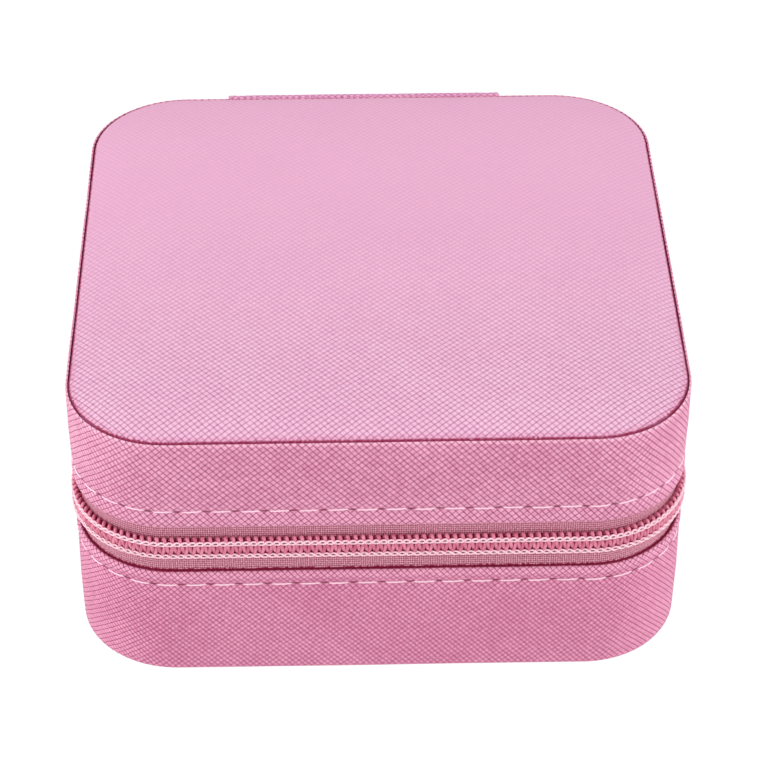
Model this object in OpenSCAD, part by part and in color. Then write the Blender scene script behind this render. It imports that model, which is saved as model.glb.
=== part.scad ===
// Zip-round travel jewellery case: a leather-covered base and lid, joined by a leather
// spine at the back and closed by a coil zip round the other three sides.
// Frame: X to the right, Y to the back, Z up. Origin: middle of the underside.

/* [Case] */
// Width of the case, side to side
case_w = 100; // [98:1:110]
// Depth of the case, front to back
case_d = 100; // [98:1:110]
// Height of the closed case
case_h = 48; // [47:0.5:54]
// Radius of the upright corners
corner_r = 16.5; // [14:0.5:18]
// Height of the zip's centre line
zip_z = 26.6; // [26:0.1:27]

/* [Walls] */
// Thickness of the leather of the side bands
leather_t = 1; // [0.8:0.1:1]
// Thickness of the foam between leather and frame
foam_t = 1.7; // [1.7:0.1:2]
// Wall thickness of the stiff frames
frame_t = 1.5; // [1.2:0.1:1.6]
// Thickness of the velvet lining
lining_t = 0.8; // [0.6:0.1:0.9]

/* [Zip] */
// Height of a half zip between the centre line and the leather's turned edge
zip_gap = 4.3; // [4.2:0.1:5]
// Height of one coil
coil_h = 2.1; // [2:0.05:2.2]
// Thickness of the coil, outward from the tape
coil_t = 1.45; // [1.3:0.05:1.6]
// Distance of the seam from the zip's centre line
seam_gap = 7.8; // [7:0.1:9]
// Place of the slider along the right-hand side
slider_y = 24; // [15:1:25]

/* [Spine] */
// Width of the leather spine strip
spine_w = 50; // [40:1:52]
// Thickness of the spine strip
spine_t = 1.2; // [1:0.1:1.5]
// Distance of the spine's middle from the middle of the back
spine_x = -1; // [-3:0.5:3]

/* [Inside] */
// Number of foam ring rolls
roll_count = 8; // [6:1:8]
// Height of the dividers
divider_h = 16.2; // [12:0.1:16.2]
// Thickness of partition and dividers
board_t = 2; // [1.6:0.1:2.2]
// Distance of each divider from the middle of the case
divider_y = 15; // [13:0.5:17]

/* [Hidden] */
$fn = 64;
cut = 1;            // how far a cutter runs past what it cuts
big = 3 * case_w;   // longer than the whole case

leather_pink = [0.91, 0.58, 0.72];
thread_pink = [0.97, 0.84, 0.89];
tape_pink = [0.80, 0.56, 0.62];
coil_pink = [0.92, 0.55, 0.66];
velvet_pink = [0.93, 0.75, 0.80];
board_grey = [0.72, 0.70, 0.68];
foam_white = [0.94, 0.93, 0.90];
metal_gold = [0.86, 0.68, 0.42];

// Offsets of the wall's layers from the outline of the case, inward below zero
tape_t = 0.5;
tape_in = -leather_t - tape_t;
frame_out = -leather_t - foam_t;
frame_in = frame_out - frame_t;
lining_in = frame_in - lining_t;
panel_out = -leather_t - 0.1;   // the panels sit inside the bands, 0.1 clear

// Heights in the base
cover_t = 0.8;
floor_t = 1.4;
pad_t = 0.8;
frame_floor = cover_t + floor_t;
inside_floor = frame_floor + pad_t;
band_foot = 0.2;
rim_t = 0.6;                    // lining turned over the frame's rim
rim_gap = 0.4;                  // each rim's distance from the parting plane
tape_reach = 12.6;              // outer edge of a tape from the centre line
tape_edge = 0.75;               // inner edge of a tape from the centre line
slider_room = 6;                // height behind a tape that the slider needs

// Heights in the lid, counted down from the top
band_top = case_h - 0.3;
panel_t = 2.8;
lid_board_t = 1;
plate_t = 1.1;
plate_top = case_h - panel_t;
lining_top = plate_top - plate_t;
ceiling = lining_top - 0.7;

// Inside furniture
board_x = -4.8;                 // middle of the fixed partition
board_right = board_x + board_t / 2;
inside_x = case_w / 2 + lining_in;
inside_y = case_d / 2 + lining_in;
board_h = 17;
roll_top = inside_floor + 16.6;
roll_clear = 0.3;
roll_pitch = 2 * (inside_y - roll_clear) / roll_count;
rib_t = 1.2;
rib_reach = 1.4;
rib_clear = 0.15;
rib_h = divider_h - 0.2;
flap_places = [-26, 0, 26];
flap_w = 7;
flap_l = 14;
flap_t = 0.8;
flap_root = -33;                // Y of the flaps' fold
flap_top = ceiling - 0.9;
snap_y = flap_root + flap_l - 3.5;
pocket_w = 76;
pocket_front = 6;
pocket_back = 43.4;
pocket_d = 5.6;
cloth_t = 0.8;

// Slider, counted outward from the case's side and along its travel
slider_l = 9;
slider_half = 3.15;             // half the slider's height
plate_in = coil_t - leather_t + 0.2;
plate_out = plate_in + 0.65;
post_half = 0.45;
post_y = 1.6;                   // where the post starts, behind the slider's middle
post_l = 2.4;
bar_r = 0.45;
wire_r = 0.4;
ring_r = 0.95;
ring_leg = 3.2;
bar_out = plate_out + ring_r + wire_r + 0.1;
tab_t = 0.8;
tab_hole = 0.8;
tab_drop = tab_hole - wire_r - 0.05;

// The plan of the case, grown by o
module outline(o) {
  r = corner_r + o;
  w = case_w + 2 * o;
  d = case_d + 2 * o;
  square([w - 2 * r, d], center = true);
  square([w, d - 2 * r], center = true);
  for (x = [-1, 1], y = [-1, 1]) translate([x * (w / 2 - r), y * (d / 2 - r)]) circle(r);
}

module slab(o, z0, z1) {
  translate([0, 0, z0]) linear_extrude(z1 - z0) outline(o);
}

module wall(o_out, o_in, z0, z1) {
  difference() {
    slab(o_out, z0, z1);
    slab(o_in, z0 - cut, z1 + cut);
  }
}

// A wall that stops each side of the spine, half_gap from the spine's middle
module open_wall(o_out, o_in, z0, z1, half_gap) {
  difference() {
    wall(o_out, o_in, z0, z1);
    translate([spine_x - half_gap, 0, z0 - 2 * cut]) cube([2 * half_gap, big, z1 - z0 + 4 * cut]);
  }
}

// Mirrors its children about the parting plane when side is 1
module above(side) {
  if (side > 0) translate([0, 0, 2 * zip_z]) mirror([0, 0, 1]) children();
  else children();
}

module box(x, y, z) {
  translate([x[0], y[0], z[0]]) cube([x[1] - x[0], y[1] - y[0], z[1] - z[0]]);
}

// ---- leather, foam and frames ----
module base_bottom_cover() { color(leather_pink) slab(panel_out, 0, cover_t); }
module base_band() { color(leather_pink) wall(0, -leather_t, band_foot, zip_z - zip_gap); }
module lid_band() { color(leather_pink) wall(0, -leather_t, zip_z + zip_gap, band_top); }

// Foam ring behind the leather; it steps back to leave room for the zip tape
module foam_ring(z_end, z_step, z_zip) {
  wall(-leather_t, frame_out, min(z_end, z_step), max(z_end, z_step));
  wall(tape_in, frame_out, min(z_step, z_zip), max(z_step, z_zip));
}
module base_padding() { color(foam_white) foam_ring(cover_t, zip_z - tape_reach, zip_z - slider_room); }
module lid_padding() { color(foam_white) foam_ring(plate_top, zip_z + tape_reach, zip_z + slider_room); }

module base_frame() {
  color(board_grey) difference() {
    slab(frame_out, cover_t, zip_z - rim_gap - rim_t);
    slab(frame_in, frame_floor, zip_z);
  }
}
module lid_frame() {
  color(board_grey) difference() {
    slab(frame_out, zip_z + rim_gap + rim_t, plate_top);
    slab(frame_in, zip_z, lining_top);
  }
}
module base_lining() {
  color(velvet_pink) {
    wall(frame_in, lining_in, frame_floor, zip_z - rim_gap);
    wall(frame_out, frame_in, zip_z - rim_gap - rim_t, zip_z - rim_gap);
  }
}
module lid_lining() {
  color(velvet_pink) {
    wall(frame_in, lining_in, zip_z + rim_gap, ceiling);
    slab(frame_in, ceiling, lining_top);
    wall(frame_out, frame_in, zip_z + rim_gap, zip_z + rim_gap + rim_t);
  }
}
module base_floor_pad() { color(velvet_pink) slab(lining_in, frame_floor, inside_floor); }

module lid_top_cover() {
  color(leather_pink) difference() {
    slab(panel_out, plate_top, case_h);
    slab(panel_out - cover_t, plate_top - cut, case_h - cover_t);
  }
}
module lid_top_board() { color(board_grey) slab(panel_out - cover_t, plate_top, plate_top + lid_board_t); }
module lid_top_padding() {
  color(foam_white) slab(panel_out - cover_t, plate_top + lid_board_t, case_h - cover_t);
}

// ---- zip and seams; side is -1 for the base's half and 1 for the lid's ----
module tape(side) {
  color(tape_pink) above(side)
    open_wall(-leather_t, tape_in, zip_z - tape_reach, zip_z - tape_edge, spine_w / 2 - 3);
}

// The coils mesh ahead of the slider and stand apart behind it
module coil(side) {
  coil_end = spine_w / 2 + 2;
  parted = slider_y + post_y - 0.4;
  color(coil_pink) above(side) difference() {
    open_wall(coil_t - leather_t, -leather_t, zip_z - coil_h, zip_z - 0.15, coil_end);
    box([0, big], [parted, big], [zip_z - post_half - 0.3, zip_z]);
  }
}

module stops(side) {
  color(metal_gold) above(side) for (s = [-1, 1]) {
    near = spine_x + s * (spine_w / 2 + 0.4);
    far = spine_x + s * (spine_w / 2 + 1.9);
    box([min(near, far), max(near, far)], [case_d / 2 - leather_t, case_d / 2 + 0.9],
        [zip_z - coil_h - 0.2, zip_z - 0.2]);
  }
}

module seam_thread(side) {
  thread_t = 0.25;
  color(thread_pink) above(side)
    open_wall(thread_t, 0, zip_z - seam_gap - 0.2, zip_z - seam_gap + 0.2, spine_w / 2);
}

// ---- spine at the back ----
module spine_strip(z0, z1) {
  color(leather_pink)
    box([spine_x - spine_w / 2, spine_x + spine_w / 2], [case_d / 2, case_d / 2 + spine_t], [z0, z1]);
}
// A thin strip behind the spine, between the tapes' ends, that closes the hinge from inside
module gusset(side) {
  half = spine_w / 2 - 3.5;
  y = case_d / 2 - leather_t;
  color(leather_pink) above(side)
    box([spine_x - half, spine_x + half], [y - tape_t + 0.05, y - 0.05], [zip_z - 11, zip_z - 0.3]);
}

// ---- inside the base ----
module partition() {
  color(velvet_pink)
    box([board_x - board_t / 2, board_right], [-inside_y, inside_y], [inside_floor, inside_floor + board_h]);
}

// A pair of ribs each side of each divider's two ends
module divider_guides() {
  gap = board_t / 2 + rib_clear;
  color(velvet_pink) for (y = [-divider_y, divider_y], x = [board_right, inside_x - rib_reach], s = [-1, 1])
    translate([x, y + s * (gap + rib_t / 2) - rib_t / 2, inside_floor]) cube([rib_reach, rib_t, rib_h]);
}

module divider(y) {
  color(velvet_pink)
    box([board_right + rib_clear, inside_x - rib_clear], [y - board_t / 2, y + board_t / 2],
        [inside_floor + 0.2, inside_floor + 0.2 + divider_h]);
}

// A loaf of foam: upright sides and a half-round top, ends trimmed to the corner
module ring_roll(i) {
  r = roll_pitch / 2 - 0.15;
  y = -inside_y + roll_clear + (i - 0.5) * roll_pitch;
  color(velvet_pink) intersection() {
    union() {
      box([-inside_x, board_x - board_t / 2 - 0.2], [y - r, y + r], [inside_floor, roll_top - r]);
      translate([-inside_x, y, roll_top - r]) rotate([0, 90, 0])
        cylinder(r = r, h = inside_x + board_x - board_t / 2 - 0.2);
    }
    slab(lining_in - 0.2, inside_floor - cut, roll_top + cut);
  }
}

// ---- inside the lid ----
module necklace_strip() {
  color(leather_pink) box([-37, 37], [flap_root - 6, flap_root + 1], [ceiling - 0.8, ceiling]);
}
module snap_studs() {
  color(metal_gold) for (x = flap_places) translate([x, snap_y, ceiling - 0.5]) cylinder(r = 2.4, h = 0.5);
}
module necklace_flap(x) {
  color(leather_pink) difference() {
    box([x - flap_w / 2, x + flap_w / 2], [flap_root, flap_root + flap_l], [flap_top - flap_t, flap_top]);
    translate([x, snap_y, flap_top - 2 * flap_t]) cylinder(r = 0.85, h = 3 * flap_t);
  }
}
module snap_cap(x) {
  color(metal_gold) translate([x, snap_y, 0]) {
    translate([0, 0, flap_top - flap_t - 0.8]) cylinder(r = 2.8, h = 0.8);
    translate([0, 0, flap_top - flap_t - 0.2]) cylinder(r = 0.8, h = flap_t + 0.4);
    translate([0, 0, flap_top]) cylinder(r = 2.2, h = 0.3);
  }
}

// A cloth pouch on the lid's ceiling, open towards the front
module lid_pocket() {
  half = pocket_w / 2;
  color(velvet_pink) difference() {
    box([-half, half], [pocket_front, pocket_back], [ceiling - pocket_d, ceiling]);
    box([cloth_t - half, half - cloth_t], [pocket_front - cut, pocket_back - cloth_t],
        [ceiling - pocket_d + cloth_t, ceiling + cut]);
  }
}
module pocket_elastic() {
  color(velvet_pink) box([-pocket_w / 2, pocket_w / 2], [pocket_front, pocket_front + 3.6],
                         [ceiling - pocket_d - 0.6, ceiling - pocket_d]);
}

// ---- slider and pull, drawn at the middle of the slider on the case's side ----
module at_slider() {
  translate([case_w / 2, slider_y, zip_z]) children();
}

module slider_plate(x0, x1) {
  r = 1.2;
  translate([x0, 0, 0]) rotate([0, 90, 0]) linear_extrude(x1 - x0) {
    square([2 * slider_half - 2 * r, slider_l], center = true);
    square([2 * slider_half, slider_l - 2 * r], center = true);
    for (a = [-1, 1], b = [-1, 1]) translate([a * (slider_half - r), b * (slider_l / 2 - r)]) circle(r);
  }
}

module slider_body() {
  flange_h = 0.75;
  color(metal_gold) at_slider() {
    slider_plate(plate_in, plate_out);
    slider_plate(frame_out + 0.2, tape_in - 0.15);
    box([tape_in - 0.2, plate_in + 0.1], [post_y, post_y + post_l], [-post_half, post_half]);
    for (s = [-1, 1]) {
      z = s * (slider_half - flange_h / 2);
      box([-leather_t + 0.25, plate_in + 0.1], [1.2 - slider_l / 2, slider_l / 2 - 1.2],
          [z - flange_h / 2, z + flange_h / 2]);
    }
  }
}

// A round bar on two feet; the pull's ring turns on it
module slider_bridge() {
  foot = 1;
  color(metal_gold) at_slider() {
    translate([bar_out, -3, 0]) rotate([-90, 0, 0]) cylinder(r = bar_r, h = 6);
    for (y = [-3, 3 - foot]) box([plate_out, bar_out], [y, y + foot], [-bar_r, bar_r]);
  }
}

module pull_ring() {
  color(metal_gold) at_slider() translate([bar_out, 0, 0]) {
    rotate([90, 0, 0]) rotate_extrude(angle = 180) translate([ring_r, 0]) circle(wire_r);
    for (x = [-ring_r, ring_r]) translate([x, 0, -ring_leg]) cylinder(r = wire_r, h = ring_leg);
    translate([0, 0, -ring_leg]) rotate([90, 180, 0]) rotate_extrude(angle = 180)
      translate([ring_r, 0]) circle(wire_r);
  }
}

module pull_tab() {
  eye_r = 1.9;
  end_r = 2.9;
  tab_l = 13;
  color(metal_gold) at_slider() translate([bar_out - tab_t / 2, 0, -ring_leg - ring_r - tab_drop])
    rotate([0, 90, 0]) difference() {
      union() {
        cylinder(r = eye_r, h = tab_t);
        hull() {
          translate([eye_r, 0, 0]) cylinder(r = 1.2, h = tab_t, $fn = 32);
          translate([tab_l, 0, 0]) cylinder(r = end_r, h = tab_t, $fn = 32);
        }
      }
      translate([0, 0, -cut]) cylinder(r = tab_hole, h = tab_t + 2 * cut);
    }
}

base_bottom_cover();
base_band();
base_padding();
base_frame();
base_lining();
base_floor_pad();
tape(-1);  // zipper_tape_lower
coil(-1);  // zipper_coil_lower
stops(-1);  // zipper_stops_lower
seam_thread(-1);  // seam_thread_lower
spine_strip(1.5, zip_z - 0.2);  // spine_strip_lower
gusset(-1);  // spine_gusset_lower
partition();
divider_guides();
for (i = [1:roll_count]) ring_roll(i);
lid_top_cover();
lid_top_padding();
lid_top_board();
lid_band();
lid_padding();
lid_frame();
lid_lining();
tape(1);  // zipper_tape_upper
coil(1);  // zipper_coil_upper
stops(1);  // zipper_stops_upper
seam_thread(1);  // seam_thread_upper
spine_strip(zip_z + 0.2, band_top);  // spine_strip_upper
gusset(1);  // spine_gusset_upper
necklace_strip();
snap_studs();
lid_pocket();
pocket_elastic();
slider_body();
slider_bridge();
pull_ring();
pull_tab();
divider(-divider_y);  // divider_front
divider(divider_y);  // divider_rear
necklace_flap(flap_places[0]);  // necklace_flap_left
necklace_flap(flap_places[1]);  // necklace_flap_middle
necklace_flap(flap_places[2]);  // necklace_flap_right
snap_cap(flap_places[0]);  // snap_cap_left
snap_cap(flap_places[1]);  // snap_cap_middle
snap_cap(flap_places[2]);  // snap_cap_right
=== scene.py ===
# %% [markdown]
# # A zip-round leather travel jewellery case
# The case is a square leather box in two halves. A leather spine joins them at the back, and a
# coil zip closes the other three sides. This lesson dresses the working model, part by part, in
# leather, tape, coil, thread, velvet and metal.
#
# The working model arrives first, as a fixed frame. It could be measured by eye, but its main
# sizes are asked from it, so that the dressed pieces land exactly where the working ones are.

# %% Load the working model
import math

import bmesh
import bpy
import numpy as np
from mathutils import Matrix, Vector, noise


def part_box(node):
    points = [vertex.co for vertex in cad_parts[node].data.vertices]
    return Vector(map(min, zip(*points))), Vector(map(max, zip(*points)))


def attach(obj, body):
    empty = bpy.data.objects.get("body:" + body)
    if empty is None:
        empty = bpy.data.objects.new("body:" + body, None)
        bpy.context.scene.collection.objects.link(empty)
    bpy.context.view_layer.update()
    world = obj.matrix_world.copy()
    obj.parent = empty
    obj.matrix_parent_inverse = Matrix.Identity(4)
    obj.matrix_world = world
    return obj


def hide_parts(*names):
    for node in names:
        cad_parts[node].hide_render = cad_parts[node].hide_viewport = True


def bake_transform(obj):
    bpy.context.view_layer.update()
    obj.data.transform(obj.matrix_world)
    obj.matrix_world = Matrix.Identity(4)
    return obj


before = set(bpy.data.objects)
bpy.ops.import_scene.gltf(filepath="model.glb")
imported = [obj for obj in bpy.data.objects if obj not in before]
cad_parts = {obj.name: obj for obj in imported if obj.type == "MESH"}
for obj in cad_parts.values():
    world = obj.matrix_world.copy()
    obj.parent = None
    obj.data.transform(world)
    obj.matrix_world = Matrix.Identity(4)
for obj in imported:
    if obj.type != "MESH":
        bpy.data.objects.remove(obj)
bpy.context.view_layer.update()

# %% [markdown]
# The lesson works in millimetres, as a case maker would, and turns them into metres once, when a
# mesh is made. The driving sizes come from the frame: the case's half width, the height of the
# zip's centre line, and the edges of the leather bands.

# %% Sizes of the case, in millimetres
MM = 0.001
TURN = 2 * math.pi


def size_of(node):
    """Lowest and highest corner of a working part, in millimetres."""
    low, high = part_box(node)
    return np.array(low) / MM, np.array(high) / MM


base_low, base_high = size_of("base_band")
lid_low = size_of("lid_band")[0]
spine_low, spine_high = size_of("spine_strip_upper")
HALF = base_high[0]
CORNER = 16.5
ZIP_Z = (base_high[2] + lid_low[2]) / 2
LID_TOP = size_of("lid_top_cover")[1][2]
SPINE_X = (spine_low[0] + spine_high[0]) / 2
SPINE_HALF = (spine_high[0] - spine_low[0]) / 2
SEAM_GAP = 7.8
STITCH_PITCH = 4.62
TOOTH_PITCH = 1.22
SLIDER_Y = sum(c[1] for c in size_of("slider_body")) / 2
print(f"case {2 * HALF:.1f} mm wide, lid top at {LID_TOP:.1f} mm, zip at {ZIP_Z:.1f} mm")

# %% [markdown]
# ## Going round the case
# Most of this case is one shape carried round a square with round corners: the bands, the tapes,
# the coil and the seams. A curve with a bevel object could do that, but it gives no control of
# where each stitch and tooth falls. A function of the distance walked round the edge does, and
# its distance also tells the leather's grain how far round it is.

# %% A walk round the case's edge
STRAIGHT = 2 * (HALF - CORNER)
ARC = CORNER * math.pi / 2
LAP = 4 * (STRAIGHT + ARC)


def around(walk, out=0.0):
    """Points `walk` mm clockwise from the middle of the back and `out` mm outside the edge,
    with the outward direction at each."""
    walk = np.asarray(walk, float)
    side, along = np.divmod(walk + STRAIGHT / 2, STRAIGHT + ARC)
    angle = np.maximum(along - STRAIGHT, 0) / CORNER
    x = np.minimum(along, STRAIGHT) - STRAIGHT / 2 + (CORNER + out) * np.sin(angle)
    y = HALF - CORNER + (CORNER + out) * np.cos(angle)
    c = np.cos(-side * math.pi / 2)
    s = np.sin(-side * math.pi / 2)
    point = np.stack([x * c - y * s, x * s + y * c], -1)
    nx = np.sin(angle)
    ny = np.cos(angle)
    normal = np.stack([nx * c - ny * s, nx * s + ny * c], -1)
    return point, normal


def depth_inside(x, y, out=0.0):
    """How far a point lies inside the edge that is grown by `out`."""
    flat = HALF - CORNER
    qx = np.abs(x) - flat
    qy = np.abs(y) - flat
    outside = np.hypot(np.maximum(qx, 0), np.maximum(qy, 0))
    return CORNER + out - outside - np.minimum(np.maximum(qx, qy), 0)


SPINE_RIGHT = SPINE_X + SPINE_HALF
SPINE_LEFT = LAP + SPINE_X - SPINE_HALF
SLIDER_WALK = STRAIGHT / 2 + ARC + HALF - CORNER - SLIDER_Y
print(f"one lap is {LAP:.1f} mm, the zip runs from {SPINE_RIGHT:.1f} to {SPINE_LEFT:.1f} mm")

# %% [markdown]
# ## Mesh helpers
# A grid of points becomes a skin of quads. Each corner of each face also gets a place in a map
# named `surface`, measured in millimetres along the material. Unwrapping would give such a map
# too, but it would guess; here the grain, the weave and the thread know their true scale.

# %% Skins and finished pieces
def finish_mesh(name, points, faces, surface=None, caps=()):
    """A piece from points in millimetres, its faces, and one surface place per face corner."""
    mesh = bpy.data.meshes.new(name)
    rows = (np.asarray(points, float) * MM).tolist()
    mesh.from_pydata(rows, [], [list(f) for f in faces] + list(caps))
    if surface is not None:
        layer = mesh.uv_layers.new(name="surface")
        flat = [c for place in surface for c in place]
        flat += [0.0] * (2 * len(mesh.loops) - len(flat))
        layer.data.foreach_set("uv", flat)
    mesh.update()
    build = bmesh.new()
    build.from_mesh(mesh)
    bmesh.ops.recalc_face_normals(build, faces=build.faces)
    build.to_mesh(mesh)
    build.free()
    mesh.shade_smooth()
    piece = bpy.data.objects.new(name, mesh)
    bpy.context.scene.collection.objects.link(piece)
    return piece


def skin(points, place_u, place_v, loop_u=False, loop_v=False, start=0):
    """Faces and surface places of a grid of points, shape (u, v, 3)."""
    nu, nv = points.shape[:2]
    faces = []
    surface = []
    for i in range(nu if loop_u else nu - 1):
        for j in range(nv if loop_v else nv - 1):
            corners = ((i, j), (i + 1, j), (i + 1, j + 1), (i, j + 1))
            faces.append([start + (a % nu) * nv + b % nv for a, b in corners])
            surface.extend((place_u[a], place_v[b]) for a, b in corners)
    return faces, surface


def end_cap(row, count, flip=False):
    """One face over a closed row of a grid."""
    ring = [row * count + k for k in range(count)]
    return ring[::-1] if flip else ring


# %% [markdown]
# Bands, tapes and linings all have a cut outline with soft corners. A bevel modifier could round
# them afterwards, but an outline that is rounded first keeps its points where they matter, and its
# lengths can be measured along it.

# %% Rounded profiles
def rounded(corners, steps=5):
    """A closed outline from (x, y, radius) corners, each corner turned into an arc."""
    outline = []
    count = len(corners)
    for k, (x, y, radius) in enumerate(corners):
        here = np.array([x, y], float)
        back = np.array(corners[k - 1][:2], float) - here
        ahead = np.array(corners[(k + 1) % count][:2], float) - here
        if radius <= 0:
            outline.append(here)
            continue
        back_len = np.linalg.norm(back)
        ahead_len = np.linalg.norm(ahead)
        back /= back_len
        ahead /= ahead_len
        half = math.acos(max(-1.0, min(1.0, float(back @ ahead)))) / 2
        reach = min(radius / math.tan(half), 0.49 * back_len, 0.49 * ahead_len)
        middle = (back + ahead) / np.linalg.norm(back + ahead)
        centre = here + middle * reach / math.cos(half)
        first = here + back * reach - centre
        last = here + ahead * reach - centre
        for step in range(steps + 1):
            f = step / steps
            spoke = first * (1 - f) + last * f
            spoke *= np.linalg.norm(first) / np.linalg.norm(spoke)
            outline.append(centre + spoke)
    return np.array(outline)


def subdivided(outline, longest):
    """A closed outline with extra points, so that no step is longer than `longest`."""
    points = []
    for k in range(len(outline)):
        here = outline[k]
        ahead = outline[(k + 1) % len(outline)]
        pieces = max(1, math.ceil(np.linalg.norm(ahead - here) / longest))
        points += [here + (ahead - here) * n / pieces for n in range(pieces)]
    return np.array(points)


def lengths_along(outline, closed=True):
    """Distance along an outline at each point, and back at the start if it is closed."""
    ends = np.vstack([outline, outline[:1]]) if closed else outline
    steps = np.linalg.norm(np.diff(ends, axis=0), axis=1)
    return np.concatenate([[0], np.cumsum(steps)])


# %% [markdown]
# Hand-wrapped leather over foam is never quite flat. A slow random swell, a tenth of a millimetre
# high, gives the light something to play on. Blender's own noise is used because it depends only
# on the place, so every run gives the same case.

# %% Soft unevenness, and a band round the case
def swell(points, height, spacing, seed=0.0):
    """How far each point of an array in millimetres stands proud of the ideal surface."""
    flat = points.reshape(-1, 3)
    offset = Vector((seed, 0, 0))
    values = [noise.noise(Vector(p) / spacing + offset) for p in flat]
    return height * np.array(values).reshape(points.shape[:-1])


def band_round(name, profile, place_v, lap_steps=208, swell_height=0.0, seed=0.0, run=None):
    """A closed (out, z) profile carried round the case, all the way or along a run."""
    closed = run is None
    if closed:
        walks = np.linspace(0, LAP, lap_steps + 1)
        stations = walks[:-1]
    else:
        walks = np.linspace(run[0], run[1], lap_steps + 1)
        stations = walks
    out = profile[None, :, 0] + np.zeros((len(stations), 1))
    walk = stations[:, None] + np.zeros((1, len(profile)))
    point, normal = around(walk, out)
    z = profile[None, :, 1] + np.zeros((len(stations), 1))
    points = np.concatenate([point, z[..., None]], -1)
    if swell_height:
        proud = swell(points, swell_height, 14.0, seed)
        points[..., :2] += normal * proud[..., None]
    faces, surface = skin(points, walks, place_v, loop_u=closed, loop_v=True)
    count = len(profile)
    caps = [] if closed else [end_cap(0, count), end_cap(len(stations) - 1, count, True)]
    return finish_mesh(name, points.reshape(-1, 3), faces, surface, caps)


# %% [markdown]
# ## Shader helpers
# A shader is a small machine of boxes and wires. Building it in code is wordy, so small helpers
# add a box with its settings, or one step of arithmetic. Effects that several materials share are
# groups with named inputs and outputs, made once and placed in each material with its own values.

# %% Boxes, wires and groups
def plug(tree, node, values):
    """Fills a node's sockets with numbers, colours or other nodes' outputs."""
    for socket, value in values.items():
        if isinstance(value, bpy.types.NodeSocket):
            tree.links.new(value, node.inputs[socket])
        else:
            node.inputs[socket].default_value = value


def put(tree, kind, values=None, **settings):
    """Adds a node with its settings and what goes into its sockets."""
    node = tree.nodes.new(kind)
    for name, value in settings.items():
        setattr(node, name, value)
    plug(tree, node, values or {})
    return node


def calc(tree, operation, *values, clamp=False):
    """One step of arithmetic on numbers or outputs."""
    values = dict(enumerate(values))
    return put(tree, "ShaderNodeMath", values, operation=operation, use_clamp=clamp).outputs[0]


def vector_calc(tree, operation, *values):
    """One step of arithmetic on places."""
    values = dict(enumerate(values))
    return put(tree, "ShaderNodeVectorMath", values, operation=operation).outputs[0]


def scaled(tree, place, factor):
    """A place multiplied by one number."""
    values = {0: place, "Scale": factor}
    return put(tree, "ShaderNodeVectorMath", values, operation="SCALE").outputs[0]


def axis_of(tree, place, axis):
    """One coordinate of a place."""
    return put(tree, "ShaderNodeSeparateXYZ", {0: place}).outputs[axis]


def ramp(tree, value, low, high, to_low=0.0, to_high=1.0):
    """A smooth step from to_low to to_high as value goes from low to high."""
    values = {"Value": value, "From Min": low, "From Max": high}
    values.update({"To Min": to_low, "To Max": to_high})
    node = put(tree, "ShaderNodeMapRange", values, interpolation_type="SMOOTHSTEP")
    return node.outputs["Result"]


def blend_colours(tree, share, first, second):
    """The first colour where share is 0 and the second where it is 1."""
    values = {0: share, 6: first, 7: second}
    return put(tree, "ShaderNodeMix", values, data_type="RGBA").outputs[2]


def new_group(name, inputs, outputs):
    """An empty group. Inputs are (name, default) pairs, where a default of None is a vector."""
    tree = bpy.data.node_groups.new(name, "ShaderNodeTree")
    for label, default in inputs:
        kind = "NodeSocketVector" if default is None else "NodeSocketFloat"
        socket = tree.interface.new_socket(label, in_out="INPUT", socket_type=kind)
        if default is not None:
            socket.default_value = default
    for label in outputs:
        tree.interface.new_socket(label, in_out="OUTPUT", socket_type="NodeSocketFloat")
    given = tree.nodes.new("NodeGroupInput")
    result = tree.nodes.new("NodeGroupOutput")
    print("group:", name, "gives", ", ".join(outputs))
    return tree, given.outputs, result.inputs


def use_group(tree, group, values):
    """Places a group in a material and returns its outputs."""
    node = tree.nodes.new("ShaderNodeGroup")
    node.node_tree = group
    plug(tree, node, values)
    return node.outputs


# %% [markdown]
# Every finish ends the same way: a colour and a bump go into the shader, with a handful of plain
# numbers such as the roughness. One helper does that, and says how many boxes the finish took.

# %% Colours and materials
def screen(r, g, b):
    """A colour as seen on a screen, 0 to 255, in the linear light that shaders use."""
    linear = [((c / 255 + 0.055) / 1.055) ** 2.4 for c in (r, g, b)]
    return (*linear, 1.0)


def new_material(name):
    """An empty material and its tree, ready for wires."""
    material = bpy.data.materials.new(name)
    material.use_nodes = True
    return material, material.node_tree


def wire_shader(material, colour, height, values, strength=1.0, depth=MM):
    """Wires a colour and a bump into a material's shader and fills its other sockets."""
    tree = material.node_tree
    bump = put(tree, "ShaderNodeBump", {"Strength": strength, "Distance": depth, "Height": height})
    values = {"Base Color": colour, "Normal": bump.outputs["Normal"], **values}
    plug(tree, tree.nodes["Principled BSDF"], values)
    print("finish:", material.name, "-", len(tree.nodes), "boxes")
    return material


def surface_place(tree):
    """Where a point is along the material, in millimetres."""
    return put(tree, "ShaderNodeUVMap", uv_map="surface").outputs["UV"]


def solid_place(tree):
    """Where a point is in the piece, in millimetres."""
    return scaled(tree, put(tree, "ShaderNodeTexCoord").outputs["Object"], 1 / MM)


# %% [markdown]
# ## Crosshatched leather
# The leather is pressed between engraved rollers that leave two families of fine grooves, about
# 0.87 mm apart, crossing at right angles. The raised diamonds between them are slightly different
# from each other, because the hide under them is. An image could tile the pattern, but it would
# repeat; two triangle waves and a random tone per diamond don't.

# %% Group: crosshatch grain
def shifted(tree, place, size, reach):
    """A place pushed about at random by up to `reach`, in patches of 1 / `size`."""
    drift = put(tree, "ShaderNodeTexNoise", {"Vector": place, "Scale": size, "Detail": 2.0})
    centred = vector_calc(tree, "SUBTRACT", drift.outputs["Color"], (0.5, 0.5, 0.5))
    return vector_calc(tree, "ADD", place, scaled(tree, centred, reach))


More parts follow.
